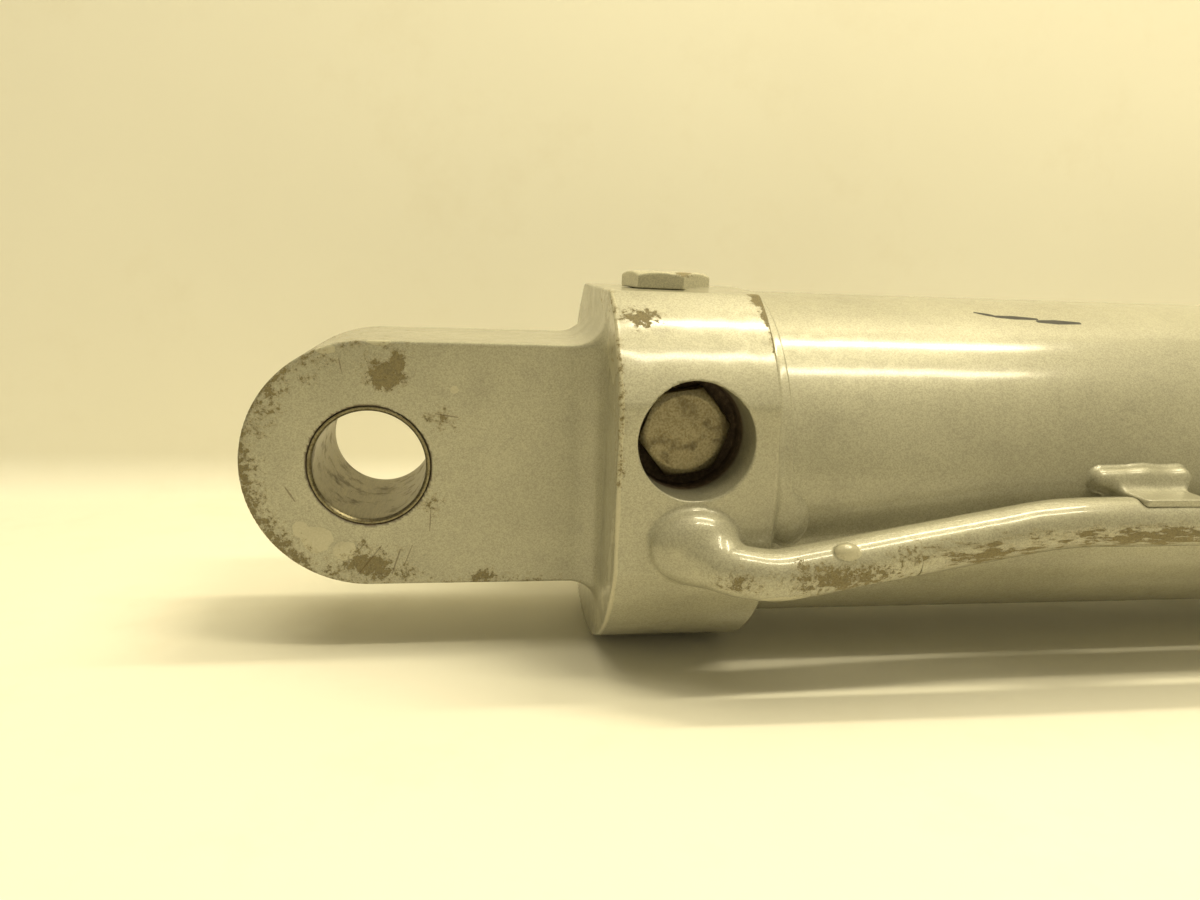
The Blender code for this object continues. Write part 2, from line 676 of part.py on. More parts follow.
def build():
    clear_scene()
    tube_cutter = tube_space("cut_tube_space")
    barrel_cutter = hidden_barrel("cut_barrel_space")
    block_cutter = block_blank("cut_block_space", None, GAP)

    relieve_lug(make_lug("base_lug", 0, BLOCK_X0 - GAP, mirrored=False))
    make_bushing("base_bushing", 0)
    make_lug_weld()
    make_base_block(tube_cutter)
    make_ports()
    make_barrel(tube_cutter)
    make_barrel_weld()
    make_transfer_tube()
    make_tube_weld("tube_weld_base", PORT_X, TUBE_BASE_Z, block_cutter, tube_cutter)
    make_tube_weld("tube_weld_head", HEAD_PORT_X, TUBE_RUN_Z, barrel_cutter, tube_cutter)
    make_clips(barrel_cutter, tube_cutter)

    make_gland()
    make_gland_seals()
    make_head_nut()

    make_piston()
    make_piston_seals()
    make_piston_nut()
    make_rod()
    make_rod_eye_weld()
    make_lug("rod_eye", EYE_X, EYE_X - EYE_X0, mirrored=True)
    make_bushing("rod_bushing", EYE_X)

    group("rod_axis", PISTON_X0, ["piston_rod", "piston", "piston_nut", "piston_static_seal", "rod_eye",
                                  "rod_eye_weld", "rod_bushing"])
    group("seal_axis", PISTON_X0, ["piston_seal", "piston_wear_ring_1", "piston_wear_ring_2"])


build()
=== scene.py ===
"""Looks of the hydraulic cylinder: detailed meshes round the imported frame, finishes, stage, lights, camera.

The visible pieces are sculpted from distance fields: a field is negative inside a solid and says how far a
point is from its surface, so pieces that are welded and painted together run into each other smoothly.
Lengths are in metres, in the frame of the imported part: +X along the barrel, +Z up, origin in the base eye.
"""

import json
import math

import bpy
import numpy as np
from mathutils import Matrix, Vector


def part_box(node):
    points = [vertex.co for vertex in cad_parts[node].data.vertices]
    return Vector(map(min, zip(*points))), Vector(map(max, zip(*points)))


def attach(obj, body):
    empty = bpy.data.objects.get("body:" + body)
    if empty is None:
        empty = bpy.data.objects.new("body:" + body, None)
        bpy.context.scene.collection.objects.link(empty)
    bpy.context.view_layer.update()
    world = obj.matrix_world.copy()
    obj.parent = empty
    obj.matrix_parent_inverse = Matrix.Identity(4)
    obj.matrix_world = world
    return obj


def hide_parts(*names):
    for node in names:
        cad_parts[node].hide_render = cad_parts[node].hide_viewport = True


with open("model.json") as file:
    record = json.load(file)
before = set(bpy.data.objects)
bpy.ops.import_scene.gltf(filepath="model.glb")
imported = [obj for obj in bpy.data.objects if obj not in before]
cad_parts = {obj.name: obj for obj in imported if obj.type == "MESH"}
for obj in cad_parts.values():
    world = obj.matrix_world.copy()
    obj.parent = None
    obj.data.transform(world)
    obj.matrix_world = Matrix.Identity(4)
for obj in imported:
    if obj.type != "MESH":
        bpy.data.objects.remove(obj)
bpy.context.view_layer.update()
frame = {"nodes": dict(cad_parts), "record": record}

MM = 0.001
BARREL, ROD = "barrel", "rod"

# ------------------------------------------------------------------ sizes
lug_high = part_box("base_lug")[1]
block_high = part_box("base_block")[1]
barrel_low, barrel_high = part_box("barrel_tube")
eye_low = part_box("rod_eye")[0]
nut_low, nut_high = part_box("head_nut")
rod_low, rod_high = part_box("piston_rod")
bush_low, bush_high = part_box("base_bushing")
rod_bush_low, rod_bush_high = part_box("rod_bushing")

LUG_R = lug_high[2]
LUG_HALF = lug_high[1]
BORE_R = 0.0278
LUG_EDGE = 1.2 * MM
BLOCK_X0 = 0.1064
BLOCK_X1 = 0.1762
BLOCK_R = block_high[1]
FRONT_FLAT = -0.0860
TOP_FLAT = block_high[2]
PORT_X = (BLOCK_X0 + BLOCK_X1) / 2
FRONT_X, PORT_Z = 0.1402, 0.0219
RECESS_R = 0.0254
RECESS_FLOOR = -0.0550
PORT_R = 0.0170
BARREL_R = 0.08255
BARREL_BORE = 0.06985
TUBE_R = 0.0111
TUBE_Y = -0.0986
TUBE_BASE_Z = -0.0280
TUBE_RUN_Z = -0.0100
HEAD_PORT_X = 0.7180
DOME_RADII = (0.0203, 0.0130, 0.0165)
DOME_SHIFT = 0.0045
SEAM_X = 0.2350
CLIP_XS = (0.3535, 0.5900)
EYE_X = 0.8890
ROD_R = 0.0381
PLUG_HEX = 0.0381

CELL = 1.1 * MM
FINE = 0.5 * MM


# ------------------------------------------------------------------ fields
def hypot(a, b):
    return np.sqrt(a * a + b * b)


def both(a, b, r):
    """Intersection, its edge rounded to radius r."""
    return np.minimum(-r, np.maximum(a, b)) + hypot(np.maximum(r + a, 0), np.maximum(r + b, 0))


def either(a, b, r):
    """Union, with a fillet of radius r in the corner."""
    return np.maximum(r, np.minimum(a, b)) - hypot(np.maximum(r - a, 0), np.maximum(r - b, 0))


def without(a, b, r):
    return both(a, -b, r)


def ellipsoid(p, centre, radii):
    q = (p - np.array(centre)) / np.array(radii)
    k = np.sqrt((q * q).sum(1)) + 1e-9
    return (k - 1) * k / (np.sqrt(((q / np.array(radii)) ** 2).sum(1)) + 1e-9)


def capsule(p, a, b, r):
    a, b = np.array(a), np.array(b)
    along = b - a
    h = np.clip((p - a) @ along / (along @ along), 0, 1)
    return np.sqrt(((p - a - h[:, None] * along) ** 2).sum(1)) - r


def slab(v, middle, half):
    return np.abs(v - middle) - half


def lattice(i, seed):
    """A repeatable number from 0 to 1 for each whole-numbered point."""
    h = i[:, 0] * 374761393 + i[:, 1] * 668265263 + i[:, 2] * 2147483647 + seed * 144665
    h = h & 0xFFFFFFFF
    h = ((h ^ (h >> 13)) * 1274126177) & 0xFFFFFFFF
    return ((h ^ (h >> 16)) & 0xFFFF) / 65535.0


def unevenness(p, size, seed):
    """Smooth noise from -1 to 1 whose lumps are about size across."""
    q = p / size
    base = np.floor(q).astype(np.int64)
    t = q - base
    t = t * t * (3 - 2 * t)
    total = np.zeros(len(p))
    for dx in (0, 1):
        for dy in (0, 1):
            for dz in (0, 1):
                corner = lattice(base + np.array((dx, dy, dz)), seed)
                wx = t[:, 0] if dx else 1 - t[:, 0]
                wy = t[:, 1] if dy else 1 - t[:, 1]
                wz = t[:, 2] if dz else 1 - t[:, 2]
                total += corner * wx * wy * wz
    return total * 2 - 1


def bent_route(corners, radii, step):
    """Points along straight runs whose corners are rounded to the given radii."""
    corners = [np.array(c, float) for c in corners]
    points = [corners[0]]
    for before, corner, after, radius in zip(corners, corners[1:], corners[2:], radii):
        u = (before - corner) / np.linalg.norm(before - corner)
        v = (after - corner) / np.linalg.norm(after - corner)
        half = math.acos(np.clip(u @ v, -1, 1)) / 2
        reach = radius / math.tan(half)
        middle = corner + (u + v) / np.linalg.norm(u + v) * radius / math.sin(half)
        start, end = corner + u * reach, corner + v * reach
        sweep = math.pi - 2 * half
        count = max(3, math.ceil(radius * sweep / step))
        a, b = start - middle, end - middle
        for k in range(count + 1):
            w = sweep * k / count
            points.append(middle + (a * math.sin(sweep - w) + b * math.sin(w)) / math.sin(sweep))
    points.append(corners[-1])
    filled = [points[0]]
    for a, b in zip(points, points[1:]):
        count = max(1, round(np.linalg.norm(b - a) / step))
        filled += [a + (b - a) * k / count for k in range(1, count + 1)]
    return np.array(filled)


def route_distance(p, route, reach):
    """Distance to a route, exact within reach of its box."""
    low, high = route.min(0) - reach, route.max(0) + reach
    outside = np.sqrt((np.maximum(np.maximum(low - p, p - high), 0) ** 2).sum(1))
    result = outside + reach
    close = outside < 1e-9
    q = p[close]
    best = np.full(len(q), 1e9)
    for a, b in zip(route, route[1:]):
        along = b - a
        h = np.clip((q - a) @ along / (along @ along), 0, 1)
        best = np.minimum(best, ((q - a - h[:, None] * along) ** 2).sum(1))
    result[close] = np.sqrt(best)
    return result


END_Y = TUBE_Y + 0.0260
ROUTE_CORNERS = [(PORT_X, END_Y, TUBE_BASE_Z), (PORT_X, TUBE_Y, TUBE_BASE_Z), (0.1745, TUBE_Y, -0.0332),
                 (0.3030, TUBE_Y, TUBE_RUN_Z), (HEAD_PORT_X, TUBE_Y, TUBE_RUN_Z),
                 (HEAD_PORT_X, END_Y, TUBE_RUN_Z)]
ROUTE_RADII = (0.0230, 0.0500, 0.2000, 0.0230)
ROUTE = bent_route(ROUTE_CORNERS, ROUTE_RADII, 2.5 * MM)


def lug_field(p, middle_x, reach):
    """Round-ended lug with its pin bore; it reaches towards +X, or towards -X if reach is negative."""
    x = (p[:, 0] - middle_x) * (1 if reach > 0 else -1)
    outline = hypot(np.minimum(x, 0), p[:, 2]) - LUG_R
    solid = both(outline, slab(p[:, 1], 0, LUG_HALF), LUG_EDGE)
    solid = np.maximum(solid, x - abs(reach))
    return without(solid, hypot(x, p[:, 2]) - BORE_R, 0.5 * MM)


def block_field(p):
    x, y, z = p.T
    outline = both(hypot(y, z) - BLOCK_R, FRONT_FLAT - y, 0.7 * MM)
    outline = both(outline, z - TOP_FLAT, 0.7 * MM)
    return both(outline, slab(x, PORT_X, (BLOCK_X1 - BLOCK_X0) / 2), 1.1 * MM)


def dome_field(p, x, y, z):
    """Cap of weld over the place where the tube enters, heavier above the tube than below it."""
    return ellipsoid(p, (x, y, z + DOME_SHIFT), DOME_RADII)


LUG_FILLET = 13 * MM
COLLAR_RISE = 0.55 * MM
COLLAR_START, COLLAR_END = 0.150, 0.1850
# thick paint that gathered and set in two drops on the lug: centre x and z, half sizes x and z, in mm
PAINT_DROPS = ((-24.0, -35.0, 8.0, 6.5), (-13.0, -40.5, 5.5, 5.0))


def weldment_field(p):
    """Lug, end block, their welds and the start of the transfer tube, as one painted skin."""
    x, y, z = p.T
    round_r = hypot(y, z)
    lug = lug_field(p, 0, BLOCK_X0 + 12 * MM)
    block = block_field(p)
    solid = either(lug, block, LUG_FILLET + 1.5 * MM * np.sin(x * 60 + z * 45))
    collar = both(round_r - BARREL_R - COLLAR_RISE, x - COLLAR_END, 1.5 * MM)
    collar = np.maximum(collar, COLLAR_START - x)
    solid = either(solid, collar, 5.5 * MM)
    weld_overlap = ellipsoid(p, (0.1846, -0.0806, -0.0115), (10 * MM, 2.9 * MM, 14.5 * MM))
    solid = either(solid, weld_overlap, 0.6 * MM)
    dome = dome_field(p, PORT_X, FRONT_FLAT + 0.5 * MM, TUBE_BASE_Z)
    tube = np.maximum(route_distance(p, ROUTE, 24 * MM) - TUBE_R, x - SEAM_X)
    boss = either(dome, tube, 5 * MM)
    solid = either(solid, boss, 2.5 * MM)
    paint_lump = ellipsoid(p, (0.2020, -0.1050, -0.0212), (6.0 * MM, 3.6 * MM, 4.6 * MM))
    solid = either(solid, paint_lump, 0.5 * MM)
    from_port = hypot(x - FRONT_X, z - PORT_Z)
    recess = both(from_port - RECESS_R, y - RECESS_FLOOR, 0.6 * MM)
    solid = without(solid, recess, 0.8 * MM)
    solid = without(solid, both(from_port - PORT_R, slab(y, -0.060, 0.030), 0.5 * MM), 0.6 * MM)
    solid = without(solid, both(hypot(x - PORT_X, y) - PORT_R, 0.0575 - z, 0.5 * MM), 0.8 * MM)
    for cx, cz, rx, rz in PAINT_DROPS:
        drop = ellipsoid(p, (cx * MM, -LUG_HALF + 0.8 * MM, cz * MM), (rx * MM, 1.4 * MM, rz * MM))
        solid = either(solid, drop, 0.5 * MM)
    near_weld = np.exp(-((x - 0.103) / 0.016) ** 2) + np.exp(-((x - 0.186) / 0.012) ** 2)
    rough = 0.035 * MM * unevenness(p, 7 * MM, 3) + 0.22 * MM * near_weld * unevenness(p, 12 * MM, 5)
    return solid + rough


# ------------------------------------------------------------------ meshes
def surface_net(field, low, high, cell):
    """Quads over the surface where the field is zero.

    Only blocks of the grid near the surface are worked out.
    """
    block = 8
    low, high = np.array(low, float), np.array(high, float)
    counts = np.ceil((high - low) / cell / block).astype(int)
    corners = np.stack(np.meshgrid(*[np.arange(c) for c in counts], indexing="ij"), -1)
    rough = field((low + (corners * block + (block - 1) / 2) * cell).reshape(-1, 3)).reshape(counts)
    near = np.abs(rough) < block * cell * 1.05 + 1.5 * MM
    grid = rough.repeat(block, 0).repeat(block, 1).repeat(block, 2)
    shape = (counts[0], block, counts[1], block, counts[2], block)
    blocks = grid.reshape(shape).transpose(0, 2, 4, 1, 3, 5)
    inner = np.stack(np.meshgrid(*[np.arange(block)] * 3, indexing="ij"), -1).reshape(-1, 3)
    points = low + (np.argwhere(near)[:, None, :] * block + inner) * cell
    blocks[near] = field(points.reshape(-1, 3)).reshape(-1, block, block, block)

    inside = grid < 0
    n = np.array(grid.shape) - 1
    offsets = [np.array((a, b, c)) for a in (0, 1) for b in (0, 1) for c in (0, 1)]
    total = 0
    for i, j, k in offsets:
        total = total + inside[i:n[0] + i, j:n[1] + j, k:n[2] + k].astype(np.int8)
    mixed = (total > 0) & (total < 8)
    cells = np.argwhere(mixed)
    index = np.full(mixed.shape, -1, np.int64)
    index[mixed] = np.arange(len(cells))
    value = [grid[tuple((cells + o).T)] for o in offsets]
    place, crossings = np.zeros((len(cells), 3)), np.zeros(len(cells))
    for i, a in enumerate(offsets):
        for j, b in enumerate(offsets):
            if i < j and np.abs(a - b).sum() == 1:
                cross = (value[i] < 0) != (value[j] < 0)
                t = np.where(cross, value[i] / np.where(cross, value[i] - value[j], 1), 0)
                place += cross[:, None] * (a + t[:, None] * (b - a))
                crossings += cross
    verts = low + (cells + place / crossings[:, None]) * cell
    quads = []
    for axis in range(3):
        u, v = np.eye(3, dtype=int)[(axis + 1) % 3], np.eye(3, dtype=int)[(axis + 2) % 3]
        lo = inside.take(range(0, n[axis]), axis)
        hi = inside.take(range(1, n[axis] + 1), axis)
        edges = np.argwhere(lo != hi)
        edges = edges[(edges[:, (axis + 1) % 3] > 0) & (edges[:, (axis + 2) % 3] > 0)]
        quad = np.stack([index[tuple((edges - s).T)] for s in (0 * u, u, u + v, v)], 1)
        back = ~lo[tuple(edges.T)]
        quad[back] = quad[back][:, ::-1]
        quads.append(quad)
    return verts, np.concatenate(quads)


def slope(verts, field):
    h = 0.04 * MM
    columns = []
    for axis in np.eye(3):
        columns.append((field(verts + axis * h) - field(verts - axis * h)) / (2 * h))
    return np.stack(columns, 1)


def settle(verts, field):
    """Move points straight onto the surface."""
    for _ in range(2):
        g = slope(verts, field)
        verts = verts - g * (field(verts) / np.maximum((g * g).sum(1), 0.05))[:, None]
    return verts


def relax(verts, quads, field, rounds):
    """Even out the spacing of the points, keeping them on the surface."""
    ends = np.concatenate([quads[:, [k, (k + 1) % 4]] for k in range(4)])
    a, b = np.concatenate([ends[:, 0], ends[:, 1]]), np.concatenate([ends[:, 1], ends[:, 0]])
    count = np.maximum(np.bincount(a, minlength=len(verts)), 1)
    for _ in range(rounds):
        mean = np.stack([np.bincount(a, verts[b, k], len(verts)) for k in range(3)], 1) / count[:, None]
        verts = settle(verts * 0.45 + mean * 0.55, field)
    return verts


def mesh_piece(name, verts, quads, normals=None):
    mesh = bpy.data.meshes.new(name)
    mesh.vertices.add(len(verts))
    mesh.vertices.foreach_set("co", verts.astype(np.float32).ravel())
    mesh.loops.add(quads.size)
    mesh.loops.foreach_set("vertex_index", quads.astype(np.int32).ravel())
    mesh.polygons.add(len(quads))
    mesh.polygons.foreach_set("loop_start", np.arange(0, quads.size, quads.shape[1], dtype=np.int32))
    mesh.update(calc_edges=True)
    mesh.validate()
    mesh.shade_smooth()
    if normals is not None:
        mesh.normals_split_custom_set_from_vertices(normals.astype(np.float32))
    piece = bpy.data.objects.new(name, mesh)
    bpy.context.collection.objects.link(piece)
    return piece


def sculpt(name, field, low, high, cell, rounds=2):
    verts, quads = surface_net(field, low, high, cell)
    verts = relax(verts, quads, field, rounds)
    normals = slope(verts, field)
    normals /= np.linalg.norm(normals, axis=1)[:, None] + 1e-9
    piece = mesh_piece(name, verts, quads, normals)
    add_marks(piece, verts)
    return piece


def grid_quads(rows, columns, close_rows):
    """Quads of a grid whose columns wrap round, and whose rows do too if close_rows."""
    r, c = np.meshgrid(np.arange(rows if close_rows else rows - 1), np.arange(columns), indexing="ij")
    r, c = r.ravel(), c.ravel()
    r2, c2 = (r + 1) % rows, (c + 1) % columns
    return np.stack([r * columns + c, r * columns + c2, r2 * columns + c2, r2 * columns + c], 1)


def soften(profile, radius, steps=3):
    """Round the corners of a closed outline of (along, radius) points."""
    out = []
    n = len(profile)
    for k in range(n):
        p, q, r = (np.array(profile[(k + d) % n], float) for d in (-1, 0, 1))
        reach = min(radius, np.linalg.norm(p - q) / 2.2, np.linalg.norm(r - q) / 2.2)
        a = q + (p - q) / np.linalg.norm(p - q) * reach
        b = q + (r - q) / np.linalg.norm(r - q) * reach
        for s in range(steps + 1):
            t = s / steps
            out.append(tuple((1 - t) ** 2 * a + 2 * t * (1 - t) * q + t * t * b))
    return out


def lathe(name, profile, segments, axis="X", centre=(0, 0, 0), edge=0.5 * MM, bumps=None):
    """Closed solid of revolution with softened edges; long runs are divided so that they can be uneven."""
    profile = soften(profile, edge)
    dense = []
    for a, b in zip(profile, profile[1:] + profile[:1]):
        count = max(1, math.ceil(math.dist(a, b) / (4 * MM)))
        dense += [tuple(np.array(a) + (np.array(b) - np.array(a)) * k / count) for k in range(count)]
    dense = np.array(dense)
    angle = np.linspace(0, 2 * math.pi, segments, endpoint=False)
    along = np.repeat(dense[:, 0], segments)
    radius = np.repeat(dense[:, 1], segments)
    turn = np.tile(angle, len(dense))
    if axis == "X":
        verts = np.stack([along, radius * np.cos(turn), radius * np.sin(turn)], 1)
    else:
        verts = np.stack([radius * np.sin(turn), along, radius * np.cos(turn)], 1)
    verts += np.array(centre)
    if bumps:
        verts = bumps(verts)
    quads = grid_quads(len(dense), segments, True)
    signed = (dense[:, 0] * np.roll(dense[:, 1], -1) - dense[:, 1] * np.roll(dense[:, 0], -1)).sum()
    if signed > 0:
        quads = quads[:, ::-1]
    piece = mesh_piece(name, verts, quads)
    piece.data.set_sharp_from_angle(angle=math.radians(50))
    add_marks(piece, verts)
    return piece


# ------------------------------------------------------------------ dirt, rust and chips
RUST, PALE, DARK = range(3)
SPOTS = [
    # channel, centre and half sizes in mm, strength
    (RUST, (8, -38.1, 42), (11, 4, 7.5), 1.15),
    (RUST, (13, -38.1, 47), (4.5, 4, 7), 1.15),
    (RUST, (16, -38.1, -50), (5, 4, 6), 0.62),
    (RUST, (53, -38.1, -54), (9, 4, 5), 0.72),
    (RUST, (28, -38.1, -17.5), (6, 4, 6), 0.46),
    (RUST, (34, -38.1, 22), (10, 4, 6), 0.42),
    (RUST, (0, -38.1, -48), (20, 4, 12), 0.76),
    (RUST, (147, -19, 91), (7, 5, 3), 0.95),
    (PALE, (147, -19, 93), (11, 5, 2.5), 0.90),
    (RUST, (118, -60, 71.5), (11, 9, 6.5), 0.80),
    (RUST, (174, -48, 80), (4.4, 11, 7), 1.05),
    (RUST, (175.5, -58, 73), (3.6, 10, 7), 1.05),
    (RUST, (176.5, -68, 63), (3.0, 9, 10), 0.92),
    (RUST, (200, -107, -31), (34, 9, 9), 0.80),
    (RUST, (262, -107, -20), (46, 9, 7), 0.70),
    (RUST, (345, -108, -14), (78, 9, 6.5), 0.76),
    (RUST, (470, -108, -14), (90, 9, 6), 0.62),
    (RUST, (157, -106, -33), (17, 9, 8), 0.50),
    (PALE, (-31, -38.1, -30), (5, 3, 5), 0.95),
    (PALE, (-24, -38.1, -35), (9, 3, 8), 0.95),
    (PALE, (-12, -38.1, -40), (7, 3, 6), 0.90),
    (PALE, (-17.7, -38.1, 53), (6, 3, 3.0), 1.0),
    (PALE, (5, -38.1, 57), (7, 3, 2.5), 1.0),
    (PALE, (38.6, -38.1, 35.6), (3.0, 3, 3), 0.75),
    (PALE, (202, -107, -19), (6.5, 5, 5), 1.35),
    (PALE, (176, -104, -42.5), (16, 9, 5), 1.0),
    (PALE, (107, -64, 66), (2.5, 24, 30), 0.85),
    (PALE, (110, -37, 84), (4, 20, 4), 0.6),
]
SPOT_EDGE = 1.25


def add_marks(piece, verts):
    """Store how rusty, pale and dark each point is, in the red, green and blue of a colour."""
    marks = np.zeros((len(verts), 4))
    x, y, z = verts.T
    for channel, centre, half, strength in SPOTS:
        q = (verts / MM - np.array(centre)) / np.array(half)
        spot = strength * np.clip(SPOT_EDGE - np.sqrt((q * q).sum(1)), 0, 1)
        marks[:, channel] = np.maximum(marks[:, channel], spot)
    rim = hypot(np.minimum(x, 0), z)
    eye = np.clip((rim - 0.0425) / 0.0145, 0, 1) * np.clip((0.030 - x) / 0.06, 0, 1)
    left = np.clip(0.92 - np.arctan2(z, -x) / 5.0, 0.55, 1.1)
    on_lug = x < 0.09
    marks[:, RUST] = np.maximum(marks[:, RUST], 0.70 * eye * left * on_lug)
    lip = np.exp(-((x - 0.1074) / (1.3 * MM)) ** 2) * (hypot(y, z) > 0.078) * (y < -0.02)
    marks[:, PALE] = np.maximum(marks[:, PALE], 0.72 * lip)
    marks[:, RUST] = np.maximum(marks[:, RUST], 0.46 * lip * (z > 0.0))
    low_edge = np.clip((-z - 0.0515) / 0.006, 0, 1) * on_lug
    marks[:, RUST] = np.maximum(marks[:, RUST], 0.34 * low_edge)
    pocket = (hypot(x - FRONT_X, z - PORT_Z) < RECESS_R + 0.6 * MM) & (y < -0.02) & (y > FRONT_FLAT)
    marks[:, DARK] = np.where(pocket, np.clip((y + 0.0690) / 0.004, 0, 1), 0)
    bore = (hypot(x, z) < BORE_R + 0.3 * MM) & (np.abs(y) < LUG_HALF - 0.3 * MM)
    marks[:, DARK] = np.where(bore, 1.0, marks[:, DARK])
    layer = piece.data.attributes.new("marks", "FLOAT_COLOR", "POINT")
    layer.data.foreach_set("color", marks.astype(np.float32).ravel())


# ------------------------------------------------------------------ finishes
class Finish:
    """A material with short ways to add nodes."""

    def __init__(self, name):
        self.material = bpy.data.materials.new(name)
        self.material.use_nodes = True
        self.tree = self.material.node_tree
        self.shader = self.tree.nodes["Principled BSDF"]
        self.place = self.add("ShaderNodeTexCoord").outputs["Object"]

    def add(self, kind, **inputs):
        node = self.tree.nodes.new(kind)
        for key, value in inputs.items():
            self.feed(node.inputs[key.replace("_", " ")], value)
        return node

    def feed(self, socket, value):
        if isinstance(value, bpy.types.NodeSocket):
            self.tree.links.new(value, socket)
        else:
            socket.default_value = value

    def math(self, operation, a, b=0.0, clamp=False):
        node = self.tree.nodes.new("ShaderNodeMath")
        node.operation = operation
        node.use_clamp = clamp
        for socket, value in zip(node.inputs, (a, b)):
            self.feed(socket, value)
        return node.outputs[0]

    def vector(self, operation, a, b=None):
        node = self.tree.nodes.new("ShaderNodeVectorMath")
        node.operation = operation
        self.feed(node.inputs[0], a)
        if b is not None:
            self.feed(node.inputs[1], b)
        return node

    def scaled(self, value, factor):
        node = self.vector("SCALE", value)
        self.feed(node.inputs["Scale"], factor)
        return node.outputs[0]

    def centred(self, value, amount):
        """A noise value moved to lie round zero and made amount times as strong."""
        return self.math("MULTIPLY", self.math("SUBTRACT", value, 0.5), amount)

    def stretched(self, scale):
        node = self.add("ShaderNodeMapping", Vector=self.place)
        node.inputs["Scale"].default_value = scale
        return node.outputs[0]

    def noise(self, size, detail=2.0, where=None, roughness=0.55):
        node = self.add("ShaderNodeTexNoise", Vector=where or self.place, Scale=1 / size, Detail=detail)
        node.inputs["Roughness"].default_value = roughness
        return node.outputs["Fac"]

    def cells(self, size):
        return self.add("ShaderNodeTexVoronoi", Vector=self.place, Scale=1 / size)

    def span(self, value, low, high, to_low=0.0, to_high=1.0):
        node = self.tree.nodes.new("ShaderNodeMapRange")
        node.interpolation_type = "SMOOTHSTEP"
        for socket, number in zip(node.inputs, (value, low, high, to_low, to_high)):
            self.feed(socket, number)
        return node.outputs[0]

    def mix(self, share, a, b):
        node = self.tree.nodes.new("ShaderNodeMix")
        node.data_type = "RGBA"
        self.feed(node.inputs[0], share)
        self.feed(node.inputs[6], a)
        self.feed(node.inputs[7], b)
        return node.outputs[2]

    def blend_numbers(self, share, a, b):
        node = self.tree.nodes.new("ShaderNodeMix")
        for socket, value in zip(node.inputs[:4], (share, None, a, b)):
            if value is not None:
                self.feed(socket, value)
        return node.outputs[0]

    def stroke(self, start, end, width):
        """1 on a straight scratch between two points, 0 away from it."""
        start, end = np.array(start) * MM, np.array(end) * MM
        along = end - start
        offset = self.vector("SUBTRACT", self.place, start)
        dot = self.vector("DOT_PRODUCT", offset.outputs[0], along / (along @ along))
        share = self.math("MULTIPLY", dot.outputs["Value"], 1.0, clamp=True)
        foot = self.scaled(along, share)
        gap = self.vector("DISTANCE", offset.outputs[0], foot)
        taper = self.math("SUBTRACT", 1.15, self.math("ABSOLUTE", self.math("SUBTRACT", share, 0.45)))
        reach = self.math("MULTIPLY", taper, width * MM)
        return self.span(self.math("DIVIDE", gap.outputs["Value"], reach), 0.7, 1.1, 1.0, 0.0)

    def marks(self):
        node = self.tree.nodes.new("ShaderNodeAttribute")
        node.attribute_name = "marks"
        parts = self.add("ShaderNodeSeparateColor", Color=node.outputs["Color"])
        return parts.outputs[0], parts.outputs[1], parts.outputs[2]

    def bump(self, height, distance, strength=1.0, after=None):
        node = self.add("ShaderNodeBump", Height=height)
        node.inputs["Strength"].default_value = strength
        node.inputs["Distance"].default_value = distance
        if after:
            self.feed(node.inputs["Normal"], after)
        return node.outputs[0]

    def set(self, **inputs):
        for key, value in inputs.items():
            self.feed(self.shader.inputs[key.replace("_", " ")], value)


def rgb(r, g, b):
    return (r, g, b, 1.0)


PAINT_DULL, PAINT_BRIGHT = rgb(0.350, 0.332, 0.240), rgb(0.405, 0.386, 0.284)
PAINT_CLOUDY, PAINT_THICK = rgb(0.290, 0.272, 0.205), rgb(0.52, 0.48, 0.33)
RUST_DARK, RUST_LIGHT = rgb(0.075, 0.054, 0.016), rgb(0.215, 0.168, 0.062)
RUST_HALO, RUST_STRAY = rgb(0.25, 0.205, 0.095), rgb(0.20, 0.155, 0.075)
RUST_DOTS = rgb(0.070, 0.048, 0.016)
BARE_DARK, BARE_LIGHT = rgb(0.065, 0.042, 0.026), rgb(0.150, 0.105, 0.066)


